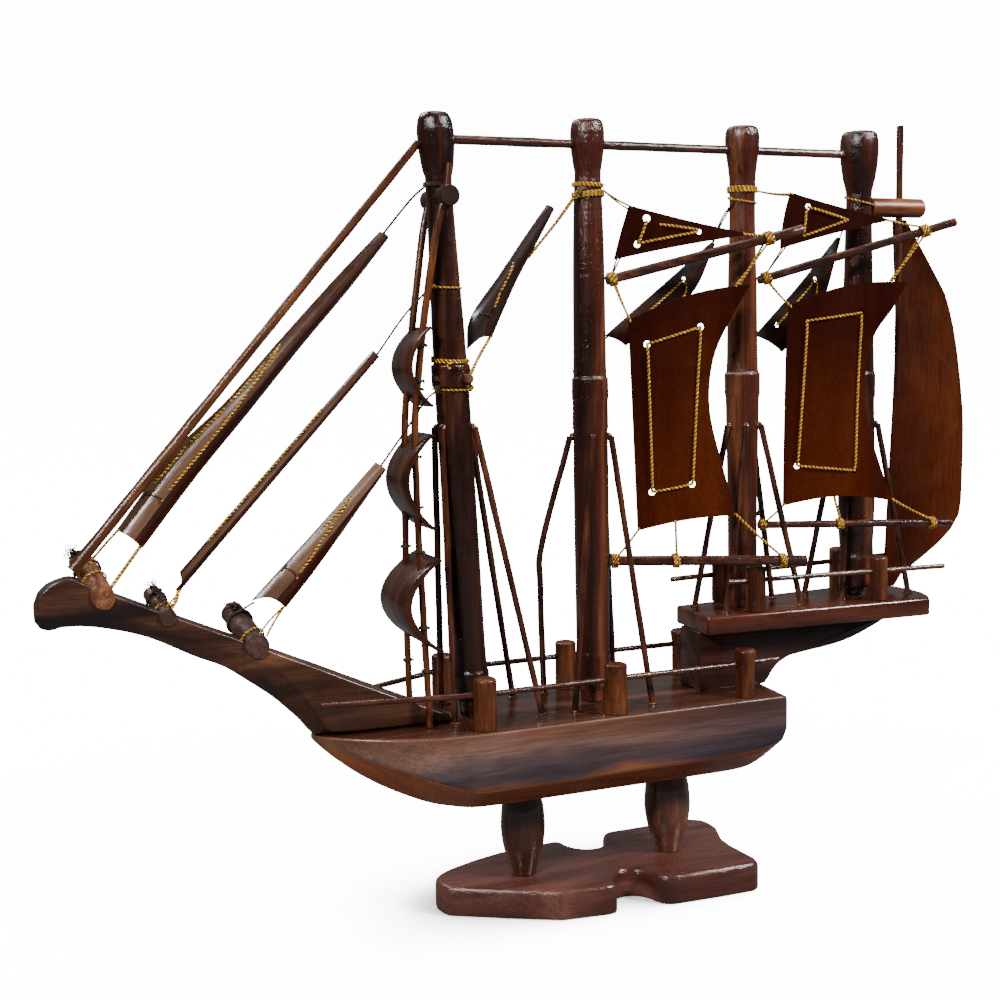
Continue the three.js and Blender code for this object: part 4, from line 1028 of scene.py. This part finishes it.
# ---------- gaff rigs ----------
# Each point is (distance from the mast, height); a hole's third number is its radius.
RIGS = [
    dict(
        n=2, gaff=[(7.1, 254.3), (89.6, 274.2)], gaff_r=2, boom=[(7.9, 139.7), (91.6, 136.8)], boom_r=2.1,
        fore=[(19.4, 151.9), (17.8, 195), (16.2, 238.4)],
        aft=[(61.1, 156.9), (57.8, 168.9), (54, 182.9), (50.8, 195.6), (49.7, 207.3), (51.3, 220.9),
             (55.7, 232.3), (67.1, 252.1)],
        foot=1.7, head=3, holes=[(23.6, 228.5, 1.5), (45.8, 235.1, 1.5), (42, 170.7, 1.5),
        (25.3, 167.9, 1.5)],
        top=[(10.4, 262.6), (13.2, 273), (16.8, 284.3)], tip=(65.5, 272.4),
        top_holes=[(24, 279, 1.6), (20, 268.7, 1.4), (45.6, 273.5, 1.2)],
        top_seams=[[(24, 278), (20.2, 269), (45, 273.4)], [(29, 276.6), (45.4, 274.2)]],
        gaff_wraps=(9.8, 75.2), boom_wraps=(9.6, 35.5, 81.5), foot_tie=(34.7, 155.9), head_tie=(60.5, 251.4)),
    dict(
        n=3, gaff=[(6.9, 254.4), (94.4, 278.2)], gaff_r=1.8, boom=[(7, 150), (94.6, 148.2)], boom_r=1.6,
        fore=[(18.2, 158), (18.6, 190), (19.4, 225.4), (20.5, 243.7)],
        aft=[(67.6, 158.5), (61.6, 173.9), (56.8, 189.5), (54.3, 204), (54.8, 218.2), (58.7, 231.2),
             (66.6, 242), (72.9, 252.8)],
        foot=3.4, head=3.6, holes=[(28, 237, 1.4), (51.9, 240, 1.4), (49.4, 172.5, 1.4), (24, 175.2, 1.4)],
        top=[(16.5, 267.5), (17.9, 279), (20.8, 291)], tip=(64, 279.2),
        top_holes=[(28.6, 285, 1.3), (46.6, 279.8, 1.2)],
        top_seams=[[(27.8, 284.2), (26.4, 272.6), (46, 279.2), (28.4, 284.8)]],
        gaff_wraps=(10.6, 80.6), boom_wraps=(9.2, 43.7, 85.9), foot_tie=(40.1, 161.4),
        head_tie=(64.5, 253.4)),
]


def spar_line(place, ends):
    """Points by their place along a spar, how far they stand off to port and how far above it."""
    (s0, z0), (s1, z1) = ends
    return lambda s, off=0.0, rise=0.0: place(s, off, lerp(z0, z1, (s - s0) / (s1 - s0)) + rise)


for rig in RIGS:
    n = rig["n"]
    body, place = f"rig_{n}", swung(MAST_X[n - 1], BOOM_ANGLE)
    gaff, boom = (spar_line(place, rig[spar]) for spar in ("gaff", "boom"))
    for spar, line in (("gaff", gaff), ("boom", boom)):
        (start, _), (end, _) = rig[spar]
        r = rig[f"{spar}_r"]
        stick = Shape().dowel(line(start), line(end), r, sides=20, chamfer=0.3, wobble=0.08, seed=n)
        stick.stand_for(f"{spar}_{n}", SPAR)
    main = Sail(rig["fore"], rig["aft"], place, 2.2, foot=rig["foot"], head=rig["head"], holes=rig["holes"])
    main.shape.stand_for(f"main_sail_{n}", VENEER, "veneer")
    tip_s, tip_z = rig["tip"]
    top = Sail(rig["top"], [(tip_s, tip_z - 0.4), (tip_s, tip_z + 0.4)], place, 0.6, foot=0.6, head=-0.6,
               holes=rig["top_holes"], step=2.4)
    top.shape.stand_for(f"topsail_{n}", VENEER, "veneer")
    seams = Shape()
    corners = [(s, z) for s, z, _ in rig["holes"]]
    main.seam(seams, [*corners, corners[0]], 0.6)
    for points in rig["top_seams"]:
        top.seam(seams, points, 0.62)
    seams.piece(f"seams_rig_{n}", GOLD, body, "veneer")
    # lashings round the spars, and ties from them to the sails
    wraps = Shape()
    for k, s in enumerate(rig["gaff_wraps"]):
        wraps.wrap(gaff(s), gaff(s + 1) - gaff(s), rig["gaff_r"], 4, 3.2, r=0.55, seed=n * 7 + k)
        wraps.knot(gaff(s + 0.6, rig["gaff_r"] + 0.6, -1), 1.3, seed=n * 5 + k)
    for k, s in enumerate(rig["boom_wraps"]):
        wraps.wrap(boom(s), boom(s + 1) - boom(s), rig["boom_r"], 3, 2.6, r=0.55, seed=n * 9 + k)
        wraps.knot(boom(s, rig["boom_r"] + 0.4, -0.6 if k else 0), 1.2, seed=n * 3 + k)
    g0, g1 = rig["gaff_wraps"]
    b0, b1, b2 = rig["boom_wraps"]
    for start, sail, (s, z), ds, dz, off in (
        (gaff(g0, 1, -1.5), main, rig["fore"][-1], 0.8, -0.8, 0.8),
        (gaff(g0 + 0.9, -0.5, -1.5), main, rig["fore"][-1], 0.9, -0.6, -0.9),
        (gaff(g1, 1.5, -1), main, rig["head_tie"], 0, 0, 0.8),
        (gaff(g1 - 1.4, -1, -1), main, rig["head_tie"], 1.5, -0.3, -0.8),
        (boom(b0, 1.5, 1), main, rig["fore"][0], 0.5, 0.9, 0.8),
        (boom(b1, 1.2, 1.2), main, rig["foot_tie"], 0, 0, 0.9),
        (boom(b1 + 0.7, -1.0, 1.2), main, rig["foot_tie"], 0.4, 0, -0.9),
        (boom(b2, 1.4, 1), main, rig["aft"][0], -0.6, 0.8, 0.9),
        (boom(b2 + 0.6, -0.8, 1), main, rig["aft"][0], -0.5, 0.6, -0.9),
        (gaff(g1, 1.2, 1.4), top, rig["tip"], -1.2, 0, 0.6),
    ):
        end = sail.at(s + ds, z + dz, off)
        wraps.twine([start, start.lerp(end, 0.5) + Vector((0, 0, -0.35)), end], 0.55)
    wraps.piece(f"lashings_rig_{n}", GOLD, body)
    dark = Shape()
    s, z = rig["top"][0]
    for shift, off in ((0, 0.9), (1.6, -0.9)):
        start, end = gaff(g0 - 0.6 + shift * 0.4, off, 1.6), top.at(s + 1.2 + shift, z + 0.9, off * 0.8)
        dark.twine([start, end], 0.42)
    dark.fray(gaff(g1 + 1, 2, -1), (0.2, -0.3, -0.5), 4, 4, seed=n)
    dark.fray(boom(b2 + 1, 2), (0.4, -0.3, 0.2), 4, 3.4, seed=n + 4)
    dark.fray(boom(b0, 2), (-0.3, -0.3, -0.8), 5, 4.5, seed=n + 8)
    dark.piece(f"dark_ties_rig_{n}", CORD, body)
    # from the neck of the mast to the topsail, across the hinge
    z = 288.5 + n
    r = mast_radius[n - 1](z)
    neck = Vector((MAST_X[n - 1] + r * 0.93, -r * 0.45, z))
    s, z = rig["top"][-1]
    for tag, end, r, material in (
        ("a", top.at(s + 1, z - 0.8, 0.8), 0.5, GOLD),
        ("b", top.at(s + 1.2, z - 2.4, -0.8) + Vector((0, 0, n - 2)), 0.42, CORD),
    ):
        tie = Shape().twine([neck, neck.lerp(end, 0.5) + Vector((0, 0, -0.5)), end], r)
        tie.piece(f"topsail_tie_{n}_{tag}", material, ("ship", body, neck, end))

# ---------- spanker ----------
aft = [
    (0.4, 116.8), (4.5, 122.6), (12.5, 128), (23.5, 136.5), (30.5, 144), (33, 150), (33.6, 158), (34, 186),
    (32.8, 204), (29.2, 229), (24.4, 247.2), (18.6, 257.4), (11.2, 269.8), (4.2, 281),
]
shares = [(z - aft[0][1]) / (aft[-1][1] - aft[0][1]) for _, z in aft]
fore = [
    (lerp(lerp(-4.4, 0.4, min(w * 1.6, 1)), -1.6, max(w * 4 - 3, 0)), z) for w, (_, z) in zip(shares, aft)
]
spanker = Sail(fore, aft, swung(SPANKER_X, SPANKER_ANGLE, shift=-2.6), camber=-1.4, thick=1.6)
spanker.shape.stand_for("spanker_sail", SPANKER, "veneer")
line = polyline([(SPANKER_X, 0, 205), (SPANKER_X, 0, 321.5)], 40)
Shape().tube(line, lambda t: lerp(1.35, 1.5, t), 14, wobble=0.12).stand_for("spanker_stick", STICK)

# ---------- shrouds ----------
# height on the mast, radius there, deck, and for each stick: foot x and y, angle of its head, any bends
SHROUDS = [
    (196, 6.8, DECK, [(-61.5, -10.5, 150), (-25, -12.5, 20), (-58, 15, -150), (-24.7, 18.5, -20)]),
    (190, 7.2, DECK, [(-11.4, -14.5, 110), (22.5, -17.2, 30),
                      (-10.4, 18.5, -150, (-14.6, 9, 147), (-14.6, 11, 129)), (22, 17, -30)]),
    (192, 6.95, POOP, [(61.5, -11, 110), (99.5, -10, 48), (57, 8, 170), (97.6, 10, -30)]),
    (190, 7.8, POOP, [(122, -8, 150), (158, -7.5, 30), (116, 12, -165), (152, 11, -30)]),
]
for i, (z, r, deck, sticks) in enumerate(SHROUDS):
    shape, glue, mast = Shape(), Shape(), Vector((mast_x(i, z), 0, z + 1.4))
    for k, (x, y, degrees, *bends) in enumerate(sticks):
        a = math.radians(degrees)
        head = mast + Vector((math.cos(a), -math.sin(a), 0)) * (r + 1.2)
        foot = Vector((x, y, deck + 0.1))
        line = curve([head, *bends, foot], 4) if bends else polyline([head, foot], 24)
        shape.tube(line, 1.33, 12, wobble=0.14, seed=i * 4 + k)
        glue.blob(foot + Vector((0, 0, 0.1)), 2.0, 0.3, seed=i + k * 3)
        glue.blob(head.lerp(mast, 0.12), 1.5, 1.1, seed=i * 2 + k)
    shape.stand_for(f"shroud_set_{i + 1}", STICK)
    glue.piece(f"shroud_glue_{i + 1}", MAST, slot="mast_wood")

# ---------- threads on the ship ----------
gold, cord = Shape(), Shape()
UPRIGHT = (0, 0, 1)


def on(sail, off, *spots):
    """Points off mm from the middle of a sail."""
    return [sail.at(s, z, off) for s, z in spots]


def by_mast(i, z, dx=0.0, dy=0.0):
    """The point at height z, dx and dy from the middle of mast i + 1."""
    return Vector((mast_x(i, z) + dx, dy, z))


# turns round the masts: mast, height, radius, turns, rise, thread, slant, start, seed
for strand, i, z, radius, turns, rise, r, tilt, start, seed in (
    (gold, 0, 252, mast_radius[0](252), 1.3, 0.8, 0.45, 0.5, 1.0, 1),
    (gold, 0, 223.6, mast_radius[0](223.6), 2.4, 1.8, 0.5, 0.6, 0, 5),
    (gold, 0, 212.4, 6.9, 1.1, 0.6, 0.45, 0.4, 0, 6),
    (gold, 1, 292.4, mast_radius[1](292), 2.2, 1.6, 0.55, 0.5, 0, 8),
    (gold, 1, 288.4, mast_radius[1](288), 3.3, 2.6, 0.55, -0.4, 0, 9),
    (gold, 2, 292.2, mast_radius[2](292), 3.2, 2.6, 0.55, 0.3, 0, 10),
    (gold, 2, 287.6, mast_radius[2](288), 1.1, 0.5, 0.45, 1.2, 2.0, 11),
    (gold, 3, 288.6, mast_radius[3](288), 1.2, 0.6, 0.45, 1.9, 0.4, 12),
    (cord, 0, 290.6, mast_radius[0](290), 1.6, 1.0, 0.55, 0.6, 0, 14),
):
    strand.wrap(by_mast(i, z), UPRIGHT, radius, turns, rise, r, start, tilt, seed)
for strand, at, size, r, loops, seed in (
    (gold, by_mast(0, 221.5, -2.8, -8), 1.7, 0.42, 9, 30),
    (cord, by_mast(0, 219.5, 0.5, -8.4), 1.7, 0.42, 9, 31),
    (gold, by_mast(0, 222.8, 3.2, -7.6), 1.7, 0.42, 9, 32),
    (gold, by_mast(0, 213.4, 5.2, -6.9), 1.7, 0.42, 9, 33),
    (cord, (-171.8, -1.5, 138.8), 2.2, 0.5, 10, 57),
    (cord, (mast_x(0, 216) - 6.9, -4.2, 216.6), 1.4, 0.5, 8, 61),
):
    strand.knot(at, size, r, loops, seed)
cord.fray((mast_x(0, 214) + 4.8, -7.6, 213.5), (0.5, -0.5, -0.4), 7, 5, seed=4)
cord.fray((-171.8, -1.5, 139.4), (-0.3, -0.3, 0.9), 8, 5.5, 0.8, 0.3, seed=58)
cord.fray(by_mast(0, 214, -6.8, -4.2), (-0.3, -0.2, -1), 6, 5, 0.5, 0.2, seed=62)

# seams, and threads whipped along an edge
for sail, r, *points in (
    (stay_12, 0.5, (-37.6, 243.6), (-34.5, 250.4), (-31.9, 254.6), (-27.6, 263)),
    (stay_23, 0.5, (24, 235.5), (49, 255)),
    (stay_34, 0.5, (94.8, 235.5), (114, 255)),
    (jibs[0], 0.55, (-172.3, 181), (-159.4, 194.8), (-144, 208.8), (-128.3, 225.2), (-122.6, 231.5)),
    (jibs[0], 0.55, (-167.2, 178.4), (-151.2, 196.2), (-136.5, 213.4), (-122.6, 231.5)),
    (jibs[2], 0.55, (-120.9, 145.4), (-111.9, 157.3), (-106.4, 164.3), (-100, 172.6)),
    (jibs[2], 0.45, (-112.4, 160.2), (-97.6, 174.8)),
):
    sail.seam(gold, points, r)
stay_12.edge(gold, stay_12.aft, 0.04, 0.72, 0.5, 0.5)
jibs[1].edge(cord, jibs[1].fore, 0.14, 0.7, 0.4, -0.5)
jibs[1].edge(gold, jibs[1].aft, 0.01, 0.2, 0.5, 0.4)
fore_edge = [jibs[1].place(p.x, 0, p.y) for p in (along(jibs[1].fore, k / 30) for k in range(4, 23))]
gold.twine([p + Vector((-0.3, -0.9, 0.2)) for p in fore_edge], 0.5)

# ties: strand, thread, points
for strand, r, *points in (
    # staysails
    (gold, 0.7, (-1.4, -5.6, 291), (-9, -2, 279.5), stay_12.at(-20.4, 264.8, 0.4)),
    (gold, 0.55, (-2.4, -5.6, 290.4), (-10.2, -2.4, 278.8), stay_12.at(-21.2, 263.6, 0.4)),
    (gold, 0.75, stay_12.at(-37.8, 233.2, 0.4), (-43.5, -1, 226.8), (-48.5, -5.5, 221.4), (-51, -8.4, 218.4)),
    (cord, 0.38, *on(stay_12, 0.9, (-44.4, 240.2), (-43.1, 241.5), (-40.3, 241.2), (-39.2, 240.4))),
    (cord, 0.4, *on(stay_12, 0.9, (-26.8, 263.2), (-24.8, 265.4))),
    (cord, 0.4, (-1.5, -5.7, 291.6), (-3.2, -6.2, 288.6), (-1.2, -5.9, 287.6)),
    (gold, 0.5, *on(stay_23, 1.0, (49, 254.6), (49.6, 250), (47.4, 246))),
    (cord, 0.42, stay_23.at(62.6, 269.6, 0.8), (67, 1, 279), (71.4, -1.5, 287)),
    (cord, 0.42, stay_23.at(61.6, 268.6, 0.8), (66.5, 0.2, 280.5), (71.2, -2.8, 288)),
    (cord, 0.45, stay_23.at(13.4, 231.8, 0.7), (10.6, 1.6, 230)),
    (gold, 0.5, *on(stay_34, 1.0, (114, 254.6), (114.4, 249.5), (112.6, 245.6))),
    (cord, 0.42, stay_34.at(126, 272, 0.8), (128.6, 0.6, 280), (130.4, -2.2, 287)),
    # bows on the jibs
    (cord, 0.36, *on(jibs[0], -1.0, (-174.6, 177.7), (-170.5, 176.3), (-169.6, 174.8))),
    (cord, 0.34, *on(jibs[0], -1.0, (-176, 176.5), (-173.6, 178.9))),
    (cord, 0.36, *on(jibs[2], -1.0, (-126.1, 147.6), (-123.2, 146.3), (-121.9, 143.6))),
    (cord, 0.34, *on(jibs[2], -1.0, (-127.5, 146.4), (-125.1, 148.8))),
    # feet of the jibs
    (gold, 0.55, jibs[0].at(-185.2, 165.2, -0.4), (-190.5, 2.4, 160), (-196.6, 2.4, 153.4)),
    (gold, 0.8, jibs[0].at(-177.6, 158.8, -0.4), (-183.5, -0.6, 152.2), (-189.9, -5.2, 145.4)),
    (gold, 0.8, jibs[1].at(-164.8, 141, -0.4), (-167, -4.6, 138.6), (-169, -6.4, 136.4)),
    (gold, 0.5, jibs[1].at(-164.2, 142, -0.4), (-167.4, -3.4, 139.4), (-170.4, -4.6, 137)),
    (gold, 0.55, jibs[2].at(-126, 132.4, -0.4), (-131, -5, 127.6), (-134.8, -8.2, 123)),
    (gold, 0.5, jibs[2].at(-126.6, 132.6, -0.4), (-132.6, -4, 128), (-137, -6.4, 123.8)),
    (cord, 0.5, jibs[2].at(-138, 135.4, -0.4), (-140.2, 1, 133), (-141.6, 5, 131)),
    # heads of the jibs
    (cord, 0.55, (mast_x(0, 290) - 5.8, -1.5, 290.4), (-71, 1, 285), jibs[0].at(-82, 272)),
    (cord, 0.5, by_mast(0, 252, -6.2, -0.5), (-75, -1.2, 241.5), jibs[1].at(-88, 227.4)),
    (cord, 0.5, (mast_x(0, 213) - 6.0, -4.2, 213.4), (-68.8, -5.4, 208.6), (-75, -3.4, 199.4),
     jibs[2].at(-87.4, 184)),
):
    strand.twine(points, r)
for sail, spot in ((jibs[0], (-169.6, 174.8)), (jibs[2], (-121.9, 143.6))):
    gold.knot(sail.at(*spot, -1.1), 0.7, 0.35, 6, seed=80)

# turns round the prow dowels, with a tuft at each far end
for (near, far, r), share in zip(PROW_DOWELS, (0.4, 0.3, 0.22)):
    r += 0.05
    gold.wrap(near.lerp(far, share), far - near, r, 1.0, 0.4, r=0.42, tilt=0.9, seed=int(r * 10))
    cord.wrap(near.lerp(far, 0.68), far - near, r, 2.2, 1.4, seed=int(r * 7))
for at, way, length, seed in (
    ((-199.8, 9.5, 156.4), (-0.9, 0, 0.25), 5.6, 51), ((-172.2, 4.5, 141.2), (-0.8, -0.2, 0.6), 6, 52),
    ((-143.2, 8.6, 132.4), (-0.9, 0, 0.2), 5.2, 53),
):
    cord.knot(at, 2.0, 0.5, 9, seed)
    cord.fray(at, way, 14, length, 0.7, 0.32, seed)

# stops tied on the bowed sticks
for z in (229.5, 216, 213, 187, 167.4, 150.5, 121, 104):
    above, below = next((a, b) for a, b in zip(BOW, BOW[1:]) if a[2] >= z >= b[2])
    x, y, _ = Vector(above).lerp(Vector(below), (z - above[2]) / (below[2] - above[2]))
    for side in (-1, 1):
        cord.wrap((x, side * y, z), UPRIGHT, 1.45, 1.6, 1.0, r=0.4, seed=int(z) + side)
        cord.knot((x + 1.6, side * y - 1, z), 0.8, 0.36, 6, seed=int(z * 3) + side)
for at, way, seed in (
    ((MAST_X[1] - 6.7, -1.6, 218.4), (-0.4, -0.2, -0.8), 71),
    ((MAST_X[2] - 6.2, -1.6, 224), (-0.5, -0.2, -0.6), 72),
    ((MAST_X[2] + 5.8, -2.4, 155), (0.3, -0.3, 0.9), 73),
):
    cord.knot(at, 1.3, 0.45, 8, seed)
    cord.fray(at, way, 6, 4.6, 0.6, 0.2, seed)
gold.piece("gold_threads_ship", GOLD)
cord.piece("dark_threads_ship", CORD)

# ---------- floor and light ----------
floor_mesh = bpy.data.meshes.new("floor")
floor_mesh.from_pydata([(-6, -4, 0), (6, -4, 0), (6, 8, 0), (-6, 8, 0)], [], [(0, 1, 2, 3)])
floor = bpy.data.objects.new("floor", floor_mesh)
floor.location.z = -0.0002
bpy.context.scene.collection.objects.link(floor)
# The camera sees a floor that glows, a little less near the ship and less again in a painted shadow where
# occlusion leaned toward the key light meets the ship; other rays meet a dim one.
ground = Nodes("floor")
seen = ground.new("ShaderNodeLightPath").outputs["Is Camera Ray"]
pale = ground.new("ShaderNodeBsdfDiffuse", Color=(1.2, 1.2, 1.2, 1))
dim = ground.new("ShaderNodeBsdfDiffuse", Color=(0.12, 0.12, 0.12, 1))
pick = ground.new("ShaderNodeMixShader")
glow = ground.new("ShaderNodeEmission", Color=(1, 1, 1, 1))
both = ground.new("ShaderNodeAddShader")
reach = ground.new("ShaderNodeVectorMath", operation="LENGTH")
far_off = ground.new("ShaderNodeMapRange", From_Min=0.1, From_Max=0.6, To_Min=13.0, To_Max=16.0)
# Ambient occlusion leaned toward the key light: it paints the ship's shadow into the floor's glow.
key_shadow_ao = ground.new("ShaderNodeAmbientOcclusion", samples=8, Distance=0.07)
lean_to_key = ground.new("ShaderNodeCombineXYZ", X=0.62, Y=-0.3, Z=0.72)
unshadowed_share = ground.new("ShaderNodeMapRange", From_Min=0.42, From_Max=0.84, To_Min=0.0, To_Max=1.0)
ground.feed(
    (seen, pick.inputs[0]), (dim.outputs["BSDF"], pick.inputs[1]), (pale.outputs["BSDF"], pick.inputs[2]),
    (ground.place(), reach.inputs[0]), (reach.outputs["Value"], far_off.inputs["Value"]),
    (lean_to_key.outputs[0], key_shadow_ao.inputs["Normal"]), (key_shadow_ao.outputs["AO"], unshadowed_share.inputs["Value"]),
)
# shade is the painted shadow of the ship on the floor's glow.
shade = ground.math("MULTIPLY_ADD", ground.math("POWER", unshadowed_share.outputs["Result"], 2.6), 18.0, 0.25)
sunk = ground.math("MINIMUM", shade, far_off.outputs["Result"])
ground.feed(
    (ground.math("MULTIPLY", seen, sunk), glow.inputs["Strength"]),
    (pick.outputs["Shader"], both.inputs[0]), (glow.outputs["Emission"], both.inputs[1]),
    (both.outputs["Shader"], ground.tree.nodes["Material Output"].inputs["Surface"]),
)
floor_mesh.materials.append(ground.material)

world = bpy.data.worlds.new("studio")
world.use_nodes = True
sky = world.node_tree
backdrop = sky.nodes["Background"]
backdrop.inputs["Color"].default_value = (1, 1, 1, 1)
seen = sky.nodes.new("ShaderNodeLightPath")
level = sky.nodes.new("ShaderNodeMapRange")
level.inputs["To Min"].default_value = 0.12
level.inputs["To Max"].default_value = 14.0
sky.links.new(seen.outputs["Is Camera Ray"], level.inputs["Value"])
sky.links.new(level.outputs["Result"], backdrop.inputs["Strength"])
bpy.context.scene.world = world


def softbox(name, at, target, size, power):
    data = bpy.data.lights.new(name, "AREA")
    data.size, data.energy = size, power
    lamp = bpy.data.objects.new(name, data)
    lamp.location = at
    lamp.rotation_euler = (Vector(target) - Vector(at)).to_track_quat("-Z", "Y").to_euler()
    bpy.context.scene.collection.objects.link(lamp)


softbox("right", (0.85, -0.8, 1.0), (0, 0, 0.15), 0.24, 31)
softbox("left", (-0.9, -0.7, 0.85), (0, 0, 0.15), 0.24, 16)
softbox("top", (0.1, 0.1, 1.4), (0, 0, 0.1), 0.5, 7)
softbox("back", (-0.75, 1.1, 1.5), (0, 0, 0.15), 0.4, 17)
